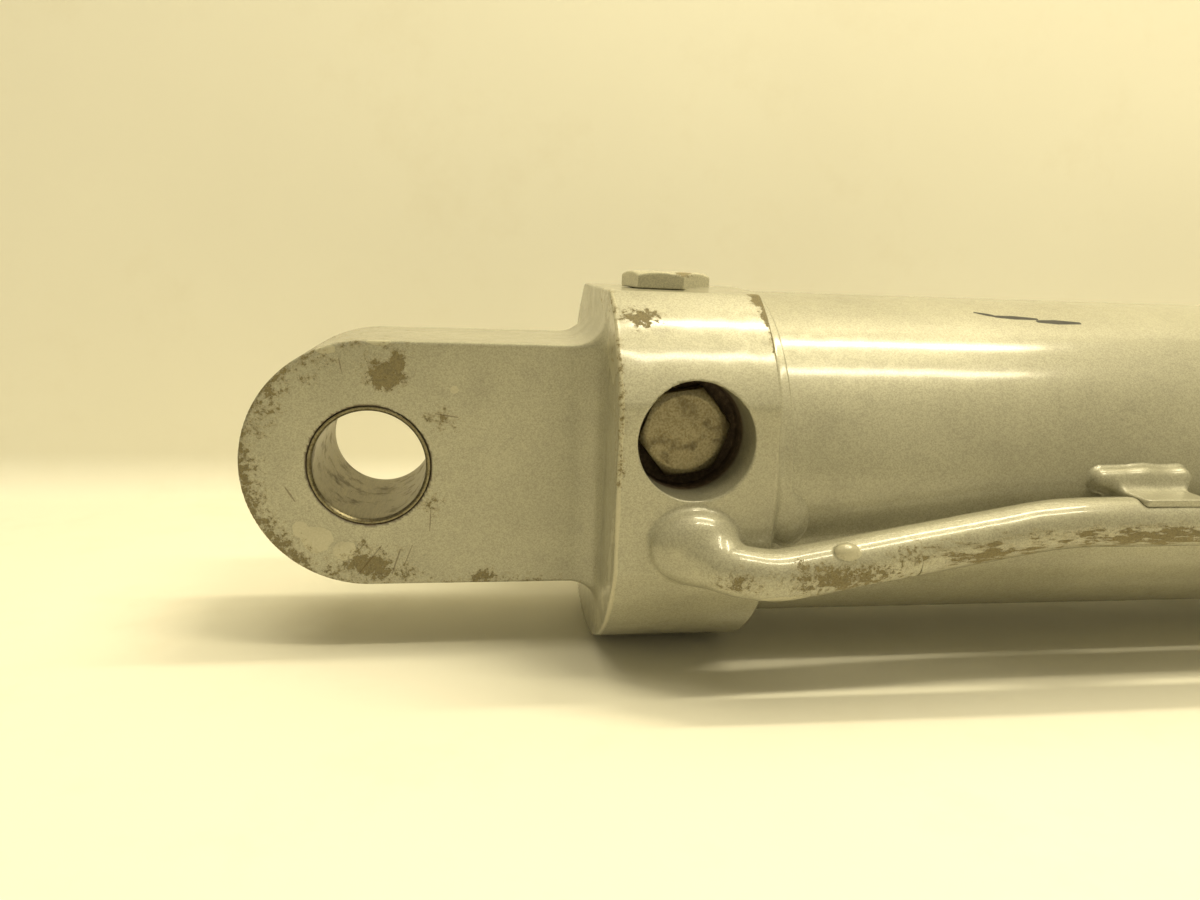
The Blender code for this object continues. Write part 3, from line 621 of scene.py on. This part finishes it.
def silver_paint(name="silver_paint_detailed", dirt=1.0, streak=1.0, tone=1.0):
    """Silver-grey metallic enamel with flakes and a clear gloss.

    The marks on the points say where it is rusty, where it is thick and pale, and where it is bare and dark.
    A tone above 1 makes the whole paint brighter: painted light for a piece that gets too little light.
    """
    f = Finish(name)
    rust, pale, dark = f.marks()
    cloud = f.noise(90 * MM, 3)
    patch = f.noise(14 * MM, 4)
    flake = f.cells(0.5 * MM)
    glint = f.add("ShaderNodeSeparateColor", Color=flake.outputs["Color"]).outputs[0]
    grain = f.noise(0.9 * MM, 2)
    fine = f.noise(2.6 * MM, 6, f.stretched((streak, 1.0, 1.0)), 0.72)
    speck = f.noise(1.1 * MM, 3, roughness=0.7)
    blotch = f.noise(9 * MM, 5, roughness=0.65)

    base = f.mix(f.span(cloud, 0.35, 0.65), PAINT_DULL, PAINT_BRIGHT)
    base = f.mix(f.math("MULTIPLY", f.span(patch, 0.45, 0.75), 0.30), base, PAINT_CLOUDY)
    # the flakes vary the brightness at random; tone multiplies it all, and a tone above 1 is painted light
    sparkle_and_light_gain = f.span(glint, 0.0, 1.0, 0.86 * tone, 1.12 * tone)
    base = f.scaled(base, f.math("ADD", sparkle_and_light_gain, f.centred(grain, 0.35)))

    strength = f.math("MULTIPLY", rust, dirt)
    marked = f.math("GREATER_THAN", strength, 0.02)
    level = f.math("ADD", strength, f.centred(fine, 2.6))
    level = f.math("ADD", level, f.centred(blotch, 1.3))
    rusty = f.math("MULTIPLY", f.span(level, 0.52, 0.62), marked)
    halo = f.math("MULTIPLY", f.span(level, 0.20, 0.62), marked)
    brown = f.mix(f.span(speck, 0.35, 0.65), RUST_DARK, RUST_LIGHT)
    stray = f.math("MULTIPLY", f.span(speck, 0.755, 0.79), f.span(blotch, 0.50, 0.62))
    dots = f.math("MULTIPLY", f.span(speck, 0.58, 0.64), f.span(level, 0.05, 0.50))
    dots = f.math("MULTIPLY", dots, marked)

    pale_level = f.math("ADD", pale, f.centred(blotch, 0.9))
    paler = f.math("MULTIPLY", f.span(pale_level, 0.40, 0.46), f.math("GREATER_THAN", pale, 0.05))
    for share, amount, colour in ((paler, 0.55, PAINT_THICK), (halo, 0.45, RUST_HALO), (rusty, 0.66, brown),
                                  (stray, 0.55, RUST_STRAY), (dots, 0.62, RUST_DOTS)):
        base = f.mix(f.math("MULTIPLY", share, amount), base, colour)
    base = f.mix(dark, base, f.mix(f.span(fine, 0.4, 0.7), BARE_DARK, BARE_LIGHT))

    covered = f.math("MAXIMUM", f.math("MAXIMUM", rusty, f.math("MULTIPLY", stray, 0.5)), dark)
    metal = f.blend_numbers(covered, f.blend_numbers(paler, 0.22, 0.05), 0.0)
    rough = f.span(f.noise(5 * MM, 3), 0.3, 0.7, 0.38, 0.50)
    rough = f.blend_numbers(covered, f.blend_numbers(paler, rough, 0.28), 0.78)
    coat = f.blend_numbers(covered, 0.82, 0.0)
    orange_peel = f.noise(3.4 * MM, 2)
    wave = f.noise(11 * MM, 2)
    pitted = f.math("MULTIPLY", rusty, f.math("ADD", speck, 0.6))
    normal = f.bump(f.cells(0.55 * MM).outputs["Distance"], 0.03 * MM, 0.22)
    normal = f.bump(orange_peel, 0.10 * MM, 0.30, normal)
    normal = f.bump(wave, 0.35 * MM, 0.18, normal)
    normal = f.bump(f.math("SUBTRACT", paler, pitted), 0.16 * MM, 0.7, normal)
    f.set(Base_Color=base, Metallic=metal, Roughness=rough, Coat_Weight=coat, Normal=normal)
    f.set(Coat_Roughness=0.145, Coat_IOR=1.5)
    return f


def lug_scratches(f):
    """Thin brown scratches on the lug and the tube's first bend."""
    lines = [
        # start and end in mm, half width in mm
        ((26.0, -38.1, 3.0), (27.6, -38.1, -9.0), 0.35),
        ((27.6, -38.1, -21.0), (27.0, -38.1, -31.0), 0.30),
        ((13.5, -38.1, -40.0), (9.5, -38.1, -52.0), 0.40),
        ((19.0, -38.1, -38.0), (15.5, -38.1, -47.0), 0.28),
        ((-12.0, -38.1, 49.0), (-11.0, -38.1, 43.0), 0.30),
        ((-37.0, -38.1, -10.0), (-33.0, -38.1, -16.5), 0.45),
        ((5.0, -38.1, -38.0), (-6.0, -38.1, -52.0), 0.35),
        ((30.0, -38.1, 24.5), (40.0, -38.1, 23.0), 0.35),
        ((160.5, -106.0, -37.4), (168.6, -99.5, -44.0), 0.55),
    ]
    add_strokes(f, lines, rgb(0.10, 0.065, 0.03), 0.6)


def barrel_hairs(f):
    """Dark hair-like marks in the paint of the barrel."""
    lines = [
        ((291.0, -30.6, 76.7), (303.0, -35.0, 74.8), 1.3),
        ((300.0, -34.0, 75.2), (321.0, -35.4, 74.6), 1.8),
        ((321.0, -37.4, 73.6), (342.5, -38.0, 73.3), 2.0),
        ((297.0, -32.0, 76.1), (301.0, -34.5, 75.0), 1.0),
    ]
    add_strokes(f, lines, rgb(0.006, 0.005, 0.004), 1.0)


def add_strokes(f, lines, colour, strength):
    """Draw straight strokes over a finished paint and take its gloss away there."""
    total = None
    for start, end, width in lines:
        one = f.stroke(start, end, width)
        total = one if total is None else f.math("MAXIMUM", total, one)
    link = f.shader.inputs["Base Color"].links[0]
    f.set(Base_Color=f.mix(f.math("MULTIPLY", total, strength), link.from_socket, colour))
    link = f.shader.inputs["Metallic"].links[0]
    f.set(Metallic=f.math("MULTIPLY", link.from_socket, f.math("SUBTRACT", 1.0, total)))
    link = f.shader.inputs["Coat Weight"].links[0]
    f.set(Coat_Weight=f.math("MULTIPLY", link.from_socket, f.math("SUBTRACT", 1.0, total)))


def machined_steel(name, stretch, dirt=0.5, tone=(0.36, 0.315, 0.245)):
    """Turned or ground steel: fine marks along one direction, oily brown staining."""
    f = Finish(name)
    lines = f.noise(1.0 * MM, 3, f.stretched(stretch))
    stain = f.noise(11 * MM, 5, roughness=0.7)
    spot = f.noise(1.6 * MM, 4, roughness=0.7)
    bright = rgb(*tone)
    dull = rgb(tone[0] * 0.62, tone[1] * 0.58, tone[2] * 0.52)
    base = f.mix(f.span(lines, 0.3, 0.7), dull, bright)
    brown = rgb(0.105, 0.078, 0.034)
    stained = f.math("MULTIPLY", f.span(stain, 0.50, 0.66), dirt)
    base = f.mix(stained, base, brown)
    dots = f.math("MULTIPLY", f.span(spot, 0.66, 0.72), dirt)
    base = f.mix(dots, base, rgb(0.055, 0.035, 0.018))
    rough = f.math("ADD", f.span(lines, 0.2, 0.8, 0.26, 0.40), f.math("MULTIPLY", stained, 0.3))
    metal = f.math("SUBTRACT", 0.95, f.math("MULTIPLY", stained, 0.6))
    f.set(Base_Color=base, Metallic=metal, Roughness=rough)
    f.set(Normal=f.bump(f.math("ADD", lines, f.math("MULTIPLY", spot, 0.4)), 0.03 * MM, 0.5))
    return f


def chrome(name):
    f = Finish(name)
    lines = f.noise(0.8 * MM, 2, f.stretched((8.0, 0.6, 0.6)))
    film = f.noise(35 * MM, 4)
    f.set(Base_Color=f.mix(f.span(film, 0.35, 0.7), rgb(0.72, 0.72, 0.73), rgb(0.62, 0.61, 0.58)))
    f.set(Metallic=1.0, Roughness=f.span(f.math("ADD", lines, film), 0.6, 1.4, 0.06, 0.15))
    f.set(Normal=f.bump(lines, 0.01 * MM, 0.25))
    return f


def polymer(name, dark, light, size, roughness):
    f = Finish(name)
    grain = f.noise(size, 4)
    f.set(Base_Color=f.mix(f.span(grain, 0.3, 0.7), rgb(*dark), rgb(*light)))
    f.set(Roughness=f.span(grain, 0.2, 0.8, roughness - 0.08, roughness + 0.1))
    f.set(Normal=f.bump(grain, 0.05 * MM, 0.4))
    return f


def dress(piece, finish):
    piece.data.materials.clear()
    piece.data.materials.append(finish.material)


def ride(piece, body, slot, finish, *nodes):
    """Put a piece on its body, with its finish, in place of the CAD nodes it stands for."""
    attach(piece, body)
    dress(piece, finish)
    if nodes:
        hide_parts(*nodes)


# ------------------------------------------------------------------ pieces: the painted weldments
paint = silver_paint()
lug_scratches(paint)
barrel_paint = silver_paint("barrel_paint", 0.8)
barrel_hairs(barrel_paint)
tube_paint = silver_paint("tube_paint", 1.0, 0.22)

weldment = sculpt("base_weldment", weldment_field, (-0.060, -0.113, -0.097), (0.238, 0.097, 0.097), CELL)
ride(weldment, BARREL, "silver_paint", paint,
     "base_lug", "lug_weld", "base_block", "barrel_weld", "tube_weld_base")


def barrel_bumps(verts):
    r = hypot(verts[:, 1], verts[:, 2])
    outer = (r > BARREL_R - 0.1 * MM)[:, None]
    push = 0.05 * MM * unevenness(verts, 38 * MM, 11) + 0.025 * MM * unevenness(verts, 9 * MM, 12)
    radial = verts * np.array((0, 1, 1)) / r[:, None]
    return verts + outer * radial * (push - 0.05 * MM)[:, None]


barrel_start, barrel_end = barrel_low[0] + 0.5 * MM, barrel_high[0]
THREAD_X, THREAD_R = 0.7450, 0.0790
barrel_profile = [(barrel_start, BARREL_R), (THREAD_X, BARREL_R), (THREAD_X, THREAD_R),
                  (barrel_end, THREAD_R), (barrel_end, BARREL_BORE), (barrel_start, BARREL_BORE)]
barrel = lathe("barrel_shell", barrel_profile, 256, edge=0.4 * MM, bumps=barrel_bumps)
ride(barrel, BARREL, "silver_paint", barrel_paint, "barrel_tube")


def sweep(route, radius, sides):
    """Closed tube of the given radius along a route."""
    tangent = np.gradient(route, axis=0)
    tangent /= np.linalg.norm(tangent, axis=1)[:, None]
    side = np.cross(tangent[0], (0, 0, 1))
    rings = []
    angle = np.linspace(0, 2 * math.pi, sides, endpoint=False)
    for point, t in zip(route, tangent):
        side = side - (side @ t) * t
        side /= np.linalg.norm(side)
        up = np.cross(side, t)
        rings.append(point + radius * (np.cos(angle)[:, None] * side + np.sin(angle)[:, None] * up))
    verts = np.concatenate(rings)
    middle = np.repeat(route, sides, axis=0)
    out = (verts - middle) / radius
    push = 0.10 * MM * unevenness(verts, 13 * MM, 21) + 0.04 * MM * unevenness(verts, 4 * MM, 22)
    verts = verts + out * push[:, None]
    quads = grid_quads(len(route), sides, False)
    ends = np.array([route[0], route[-1]])
    verts = np.concatenate([verts, ends])
    first, last = len(verts) - 2, len(verts) - 1
    k = np.arange(sides)
    start_fan = np.stack([k, np.full(sides, first), (k + 1) % sides], 1)
    base = (len(route) - 1) * sides
    end_fan = np.stack([base + (k + 1) % sides, np.full(sides, last), base + k], 1)
    return verts, quads, np.concatenate([start_fan, end_fan])


def tube_piece():
    run = ROUTE[(ROUTE[:, 0] > SEAM_X - 1.5 * MM) & (ROUTE[:, 0] < HEAD_PORT_X - 8 * MM)]
    verts, quads, fans = sweep(run, TUBE_R - 0.02 * MM, 72)
    mesh = bpy.data.meshes.new("transfer_tube_run")
    faces = [tuple(q) for q in quads.tolist()] + [tuple(t) for t in fans.tolist()]
    mesh.from_pydata(verts.tolist(), [], faces)
    mesh.validate()
    mesh.shade_smooth()
    mesh.set_sharp_from_angle(angle=math.radians(50))
    piece = bpy.data.objects.new("transfer_tube_run", mesh)
    bpy.context.collection.objects.link(piece)
    add_marks(piece, verts)
    return piece


tube = tube_piece()
ride(tube, BARREL, "silver_paint", tube_paint, "transfer_tube")


def grafted(p, shape, fillet, reach):
    """A shape that grows out of the barrel with a fillet, without the barrel itself."""
    r = hypot(p[:, 1], p[:, 2])
    grown = either(shape, r - BARREL_R + 0.25 * MM, fillet)
    return np.maximum(np.maximum(grown, BARREL_R - 2.2 * MM - r), shape - reach)


def head_elbow_field(p):
    dome = dome_field(p, HEAD_PORT_X, -BARREL_R + 1.0 * MM, TUBE_RUN_Z)
    tube_part = np.maximum(route_distance(p, ROUTE[-30:], 24 * MM) - TUBE_R, 0.6950 - p[:, 0])
    boss = either(dome, tube_part, 5 * MM)
    return grafted(p, boss, 4 * MM, 7 * MM) + 0.08 * MM * unevenness(p, 9 * MM, 31)


elbow = sculpt("head_elbow", head_elbow_field, (0.675, -0.113, -0.045), (0.752, -0.060, 0.025), CELL)
ride(elbow, BARREL, "silver_paint", paint, "tube_weld_head")


def clip_field(p, middle):
    """Flat bar from the barrel out over the tube, with a lumpy bead of weld along its root."""
    x, y, z = p.T
    bar = both(slab(x, middle, 16.5 * MM), slab(y, -0.0915, 15.5 * MM), 4.0 * MM)
    bar = both(bar, slab(z, -0.9 * MM, 3.0 * MM), 1.4 * MM)
    bar = np.maximum(bar, -0.106 - y)
    bead_start, bead_end = (middle - 22 * MM, -0.0830, 5.6 * MM), (middle + 17 * MM, -0.0830, 6.2 * MM)
    bead = capsule(p, bead_start, bead_end, 5.6 * MM)
    bead = bead + 0.9 * MM * unevenness(p, 11 * MM, 41)
    shape = either(bar, bead, 6.5 * MM)
    body = grafted(p, shape, 2.2 * MM, 6 * MM)
    return np.maximum(body, -(route_distance(p, ROUTE[60:], 18 * MM) - TUBE_R + 0.3 * MM))


for number, middle in enumerate(CLIP_XS, 1):
    low, high = (middle - 0.036, -0.114, -0.016), (middle + 0.034, -0.070, 0.020)
    clip = sculpt("tube_clip_%d" % number, lambda p, m=middle: clip_field(p, m), low, high, 0.8 * MM)
    ride(clip, BARREL, "silver_paint", paint, "clip_tab_%d" % number, "clip_weld_%d" % number)


# ------------------------------------------------------------------ pieces: plugs and bushings
def hexagon(a, b, turn):
    """Distance outside a hexagon of the plug's size."""
    worst = None
    for k in range(3):
        angle = turn + math.pi / 6 + math.pi * k / 3
        reach = np.abs(a * math.cos(angle) + b * math.sin(angle)) - PLUG_HEX / 2
        worst = reach if worst is None else np.maximum(worst, reach)
    return worst


CHAMFER_START, CHAMFER_ANGLE = 0.955, math.radians(27)
SHANK_R = 0.0162


def plug_field(p, a, b, up, turn, foot, top):
    """Hexagon head with a turned chamfer, and its shank; up grows away from the port."""
    r = hypot(a, b)
    head = both(hexagon(a, b, turn), slab(up, (foot + top) / 2, (top - foot) / 2), 0.55 * MM)
    over_rim = r - PLUG_HEX / 2 * CHAMFER_START
    cone = ((up - top) + over_rim * math.tan(CHAMFER_ANGLE)) * math.cos(CHAMFER_ANGLE)
    head = both(head, cone, 0.8 * MM)
    shank = both(r - SHANK_R, slab(up, foot - 9.5 * MM, 10.5 * MM), 0.8 * MM)
    return np.minimum(head, shank) + 0.03 * MM * unevenness(p, 5 * MM, 51)


front_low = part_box("front_port_plug")[0]
top_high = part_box("top_port_plug")[1]


def corner_turn(node, a_axis, b_axis, a_centre, b_centre):
    """Angle of one corner of a plug's hexagon, read from the frame."""
    points = np.array([v.co for v in frame["nodes"][node].data.vertices])
    a, b = points[:, a_axis] - a_centre, points[:, b_axis] - b_centre
    far = np.argmax(hypot(a, b))
    return math.atan2(b[far], a[far])


FRONT_TURN = corner_turn("front_port_plug", 0, 2, FRONT_X, PORT_Z)
TOP_TURN = corner_turn("top_port_plug", 0, 1, PORT_X, 0)


def front_plug_field(p):
    foot = 0.0553
    return plug_field(p, p[:, 0] - FRONT_X, p[:, 2] - PORT_Z, -p[:, 1], FRONT_TURN, foot, -front_low[1])


def top_plug_field(p):
    return plug_field(p, p[:, 0] - PORT_X, p[:, 1], p[:, 2], TOP_TURN, TOP_FLAT + 0.3 * MM, top_high[2])


plug_steel = machined_steel("plug_steel", (1.0, 1.0, 1.0), 0.55, (0.30, 0.27, 0.185))
front_plug = sculpt("front_plug", front_plug_field, (FRONT_X - 0.026, -0.066, PORT_Z - 0.026),
                    (FRONT_X + 0.026, -0.033, PORT_Z + 0.026), FINE)
ride(front_plug, BARREL, "bare_steel", plug_steel, "front_port_plug")
top_plug = sculpt("top_plug", top_plug_field, (PORT_X - 0.026, -0.026, 0.0600),
                  (PORT_X + 0.026, 0.026, 0.0935), FINE)
# The top plug's paint is made 1.5 times as bright (tone 1.5): painted light, since its faces get less light
# than the lug's face that points the same way.
ride(top_plug, BARREL, "silver_paint", silver_paint("plug_paint_with_painted_light", tone=1.5), "top_port_plug")

bushing_steel = machined_steel("bushing_steel", (1.2, 0.15, 1.2), 0.55, (0.27, 0.245, 0.16))


def bushing(name, x, node, low, high, body):
    """A plain sleeve in a lug, its bore chamfered at both ends."""
    chamfer = 1.0 * MM
    inner, outer = 0.0254, 0.0275
    profile = [(low[1], inner + chamfer), (low[1] + chamfer, inner), (high[1] - chamfer, inner),
               (high[1], inner + chamfer), (high[1], outer - 0.2 * MM), (high[1] - 0.2 * MM, outer),
               (low[1] + 0.2 * MM, outer), (low[1], outer - 0.2 * MM)]
    piece = lathe(name, profile, 160, "Y", (x, 0, 0), 0.15 * MM)
    ride(piece, body, "bare_steel", bushing_steel, node)


bushing("base_eye_bushing", 0, "base_bushing", bush_low, bush_high, BARREL)
bushing("rod_eye_bushing", EYE_X, "rod_bushing", rod_bush_low, rod_bush_high, ROD)


# ------------------------------------------------------------------ pieces: the rod end
NUT_SEAT_X, NUT_LIP_R = 0.7795, 0.0580


def head_nut_field(p):
    """Ring nut over the end of the barrel, with four slots for a spanner."""
    x, y, z = p.T
    r = hypot(y, z)
    middle, half = (nut_low[0] + nut_high[0]) / 2, (nut_high[0] - nut_low[0]) / 2
    ring = both(r - BLOCK_R, slab(x, middle, half), 1.6 * MM)
    seat = both(r - THREAD_R, x - NUT_SEAT_X, 0.5 * MM)
    ring = without(ring, seat, 0.6 * MM)
    ring = without(ring, r - NUT_LIP_R, 0.8 * MM)
    turn = np.arctan2(z, y)
    turn = (turn % (math.pi / 2)) - math.pi / 4
    across, out = r * np.sin(turn), r * np.cos(turn)
    slot = both(both(np.abs(across) - 6 * MM, 0.0885 - out, 0.6 * MM), nut_high[0] - 14 * MM - x, 0.6 * MM)
    return without(ring, slot, 0.8 * MM) + 0.04 * MM * unevenness(p, 8 * MM, 61)


head_nut = sculpt("head_ring_nut", head_nut_field, (nut_low[0] - 0.004, -0.098, -0.098),
                  (nut_high[0] + 0.004, 0.098, 0.098), 1.4 * MM)
ride(head_nut, BARREL, "silver_paint", paint, "head_nut")

rod_chrome = chrome("rod_chrome")
gland_steel = machined_steel("gland_steel", (0.2, 1.0, 1.0), 0.35)
gland_low, gland_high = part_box("gland")
g0, g1 = gland_low[0], gland_high[0]
rod_wall, body_r = ROD_R + 0.3 * MM, BARREL_BORE - 0.3 * MM
nose_r, seal_r = 0.0600, 0.0635
flange_r, lip_r = 0.0785, 0.0575
wiper_r, wear_r = 0.0443, 0.0413
flange_start, flange_end = barrel_end + 0.3 * MM, barrel_end + 12.3 * MM
gland_profile = [
    # outside, from the chamber to the rod end
    (g0, rod_wall), (g0, nose_r), (g0 + 0.0245, nose_r), (g0 + 0.0245, body_r),
    (g0 + 0.0440, body_r), (g0 + 0.0440, seal_r), (g0 + 0.0515, seal_r), (g0 + 0.0515, body_r),
    (flange_start, body_r), (flange_start, flange_r), (flange_end, flange_r), (flange_end, lip_r), (g1, lip_r),
    # inside, back to the chamber: wiper seat, rod seal groove, wear ring groove
    (g1, wiper_r), (g0 + 0.0797, wiper_r), (g0 + 0.0797, rod_wall),
    (g0 + 0.0533, rod_wall), (g0 + 0.0533, wiper_r), (g0 + 0.0437, wiper_r), (g0 + 0.0437, rod_wall),
    (g0 + 0.0363, rod_wall), (g0 + 0.0363, wear_r), (g0 + 0.0157, wear_r), (g0 + 0.0157, rod_wall),
]
gland = lathe("gland_ring", gland_profile, 160, edge=0.5 * MM)
ride(gland, BARREL, "bare_steel", gland_steel, "gland")

STUB_R, SHOULDER_X = 0.0254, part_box("piston")[1][0]
r0, r1 = rod_low[0], rod_high[0]
rod_profile = [(r0, 0.0), (r0, STUB_R), (SHOULDER_X + 0.3 * MM, STUB_R), (SHOULDER_X + 0.3 * MM, ROD_R),
               (r1, ROD_R), (r1, 0.0)]


def solid_turning(name, profile, segments, edge):
    """A turned solid with closed ends: its outline starts and ends on the axis."""
    rounded = [profile[0]] + soften(profile, edge)[4:-4] + [profile[-1]]
    dense = []
    for a, b in zip(rounded, rounded[1:]):
        count = max(1, math.ceil(math.dist(a, b) / (5 * MM)))
        dense += [tuple(np.array(a) + (np.array(b) - np.array(a)) * k / count) for k in range(count)]
    rings = np.array(dense[1:])
    angle = np.linspace(0, 2 * math.pi, segments, endpoint=False)
    along, radius = np.repeat(rings[:, 0], segments), np.repeat(rings[:, 1], segments)
    turn = np.tile(angle, len(rings))
    verts = np.stack([along, radius * np.cos(turn), radius * np.sin(turn)], 1)
    verts = np.concatenate([verts, [(profile[0][0], 0, 0), (profile[-1][0], 0, 0)]])
    quads = [tuple(q[::-1]) for q in grid_quads(len(rings), segments, False).tolist()]
    first, last, tail = len(verts) - 2, len(verts) - 1, (len(rings) - 1) * segments
    for k in range(segments):
        after = (k + 1) % segments
        quads.append((first, k, after))
        quads.append((last, tail + after, tail + k))
    mesh = bpy.data.meshes.new(name)
    mesh.from_pydata(verts.tolist(), [], quads)
    mesh.validate()
    mesh.shade_smooth()
    mesh.set_sharp_from_angle(angle=math.radians(50))
    piece = bpy.data.objects.new(name, mesh)
    bpy.context.collection.objects.link(piece)
    return piece


rod = solid_turning("chromed_rod", rod_profile, 128, 1.0 * MM)
ride(rod, ROD, "chrome", rod_chrome, "piston_rod")


NECK_X, NECK_HALF, NECK_RISE = 0.8170, 8.5 * MM, 3.5 * MM
EYE_START_X = 0.8072


def rod_eye_field(p):
    """Lug at the end of the rod, with its weld round the rod."""
    x, y, z = p.T
    lug = lug_field(p, EYE_X, -(EYE_X - eye_low[0]))
    lug = both(lug, eye_low[0] - x, 2.0 * MM)
    r = hypot(y, z)
    neck = both(r - ROD_R - NECK_RISE, slab(x, NECK_X, NECK_HALF), 3.0 * MM)
    solid = either(lug, neck, 5.0 * MM)
    solid = np.maximum(solid, EYE_START_X - x)
    solid = without(solid, both(r - ROD_R - 0.15 * MM, x - eye_low[0] + 0.1 * MM, 0.2 * MM), 0.3 * MM)
    return solid + 0.03 * MM * unevenness(p, 7 * MM, 71)


rod_eye = sculpt("rod_end_eye", rod_eye_field, (0.800, -0.052, -0.062), (0.950, 0.052, 0.062), CELL * 1.1)
rod_paint = silver_paint("rod_eye_paint", 0.9)
ride(rod_eye, ROD, "silver_paint", rod_paint, "rod_eye", "rod_eye_weld")

# ------------------------------------------------------------------ carried-over CAD nodes
seal_rubber = polymer("seal_rubber", (0.012, 0.012, 0.012), (0.035, 0.034, 0.032), 1.5 * MM, 0.5)
wear_nylon = polymer("wear_nylon", (0.20, 0.12, 0.05), (0.33, 0.21, 0.10), 3 * MM, 0.45)
dull_steel = machined_steel("dull_steel", (0.2, 1.0, 1.0), 0.25)
looks = {"rubber": seal_rubber, "nylon": wear_nylon, "bare_steel": dull_steel, "chrome": rod_chrome,
         "silver_paint": tube_paint}
slots = {part["node"]: part["material_slot"] for part in frame["record"]["subparts"]}
for node, thing in frame["nodes"].items():
    if not thing.hide_render:
        for holder in thing.material_slots:
            holder.material = looks[slots[node]].material


# ------------------------------------------------------------------ stage
def stage_finish():
    f = Finish("pale_sweep")
    cloud = f.noise(0.45, 3)
    smudge = f.noise(60 * MM, 5, roughness=0.65)
    base = f.mix(f.span(cloud, 0.3, 0.7), rgb(0.85, 0.82, 0.70), rgb(0.885, 0.86, 0.74))
    base = f.mix(f.math("MULTIPLY", f.span(smudge, 0.5, 0.75), 0.10), base, rgb(0.66, 0.58, 0.40))
    f.set(Base_Color=base, Roughness=f.span(smudge, 0.3, 0.7, 0.42, 0.55), Specular_IOR_Level=0.35)
    f.set(Normal=f.bump(f.noise(25 * MM, 4), 0.3 * MM, 0.15))
    # Only the side that faces the object is solid, so that the wall doesn't hide the object from behind.
    behind = f.add("ShaderNodeNewGeometry").outputs["Backfacing"]
    f.set(Alpha=f.math("SUBTRACT", 1.0, behind))
    return f


FLOOR_Z = -BLOCK_R
FLOOR_FRONT_Y = -3.5
WALL_Y, WALL_TOP_Z, WALL_LEAN = 0.268, 2.6, 0.05
STAGE_LEFT, STAGE_RIGHT = -4.0, 5.0
BEND, BEND_STEPS = 0.030, 8


def sweep_of_paper():
    """Floor that bends up into a wall behind the object."""
    outline = [(FLOOR_FRONT_Y, FLOOR_Z), (WALL_Y - 0.03, FLOOR_Z)]
    for k in range(1, BEND_STEPS + 1):
        angle = math.pi / 2 * k / BEND_STEPS
        outline.append((WALL_Y - BEND + BEND * math.sin(angle), FLOOR_Z + BEND * (1 - math.cos(angle))))
    outline.append((WALL_Y + WALL_LEAN, WALL_TOP_Z))
    verts, faces = [], []
    for y, z in outline:
        verts += [(STAGE_LEFT, y, z), (STAGE_RIGHT, y, z)]
    for k in range(len(outline) - 1):
        faces.append((2 * k, 2 * k + 1, 2 * k + 3, 2 * k + 2))
    mesh = bpy.data.meshes.new("paper_sweep")
    mesh.from_pydata(verts, [], faces)
    mesh.shade_smooth()
    paper = bpy.data.objects.new("paper_sweep", mesh)
    bpy.context.collection.objects.link(paper)
    paper.data.materials.append(stage_finish().material)
    return paper


sweep_of_paper()


# ------------------------------------------------------------------ light
WARM = (1.0, 0.90, 0.62)


def area_light(name, place, target, size, power):
    """A rectangle of light at a place, turned towards the target."""
    data = bpy.data.lights.new(name, "AREA")
    data.shape = "RECTANGLE"
    data.size, data.size_y = size
    data.energy = power
    data.color = WARM
    lamp = bpy.data.objects.new(name, data)
    lamp.location = place
    direction = Vector(target) - lamp.location
    lamp.rotation_euler = direction.to_track_quat("-Z", "Y").to_euler()
    bpy.context.collection.objects.link(lamp)
    return lamp


STRIP_X, STRIP_SIZE = 0.83, (0.95, 0.085)
for name, y, z, power in (("strip_over", -0.01, 1.55, 14), ("strip_front", -0.62, 1.45, 10),
                          ("strip_back", 0.84, 1.50, 8)):
    area_light(name, (STRIP_X, y, z), (STRIP_X, 0.0, 0.0), STRIP_SIZE, power)
soft_top = area_light("soft_top", (0.10, -0.25, 1.70), (0.15, 0.0, 0.0), (1.8, 1.2), 20)
soft_top.visible_glossy = False

world = bpy.data.worlds.new("room")
bpy.context.scene.world = world
world.use_nodes = True
sky = world.node_tree.nodes["Background"]
sky.inputs["Color"].default_value = rgb(1.0, 0.89, 0.58)
sky.inputs["Strength"].default_value = 0.26

scene = bpy.context.scene
scene.view_settings.view_transform = "Standard"
scene.view_settings.look = "None"
scene.view_settings.exposure = 0.0

# ------------------------------------------------------------------ camera
YAW, PITCH, ROLL = math.radians(8.5345), math.radians(-12.4337), math.radians(2.1244)
CAMERA_PLACE = (0.04599, -0.43744, 0.09714)
LENS, SENSOR = 26.38, 36.0
ahead = np.array((math.sin(YAW) * math.cos(PITCH), math.cos(YAW) * math.cos(PITCH), math.sin(PITCH)))
right = np.array((math.cos(YAW), -math.sin(YAW), 0.0))
above = np.cross(right, ahead)
across = right * math.cos(ROLL) + above * math.sin(ROLL)
upward = -right * math.sin(ROLL) + above * math.cos(ROLL)
camera_data = bpy.data.cameras.new("camera")
camera_data.lens = LENS
camera_data.sensor_width = SENSOR
camera_data.clip_start = 0.01
camera = bpy.data.objects.new("camera", camera_data)
columns = (across, upward, -ahead, np.array(CAMERA_PLACE))
camera.matrix_world = Matrix([[c[k] for c in columns] for k in range(3)] + [[0, 0, 0, 1]])
bpy.context.collection.objects.link(camera)
scene.camera = camera
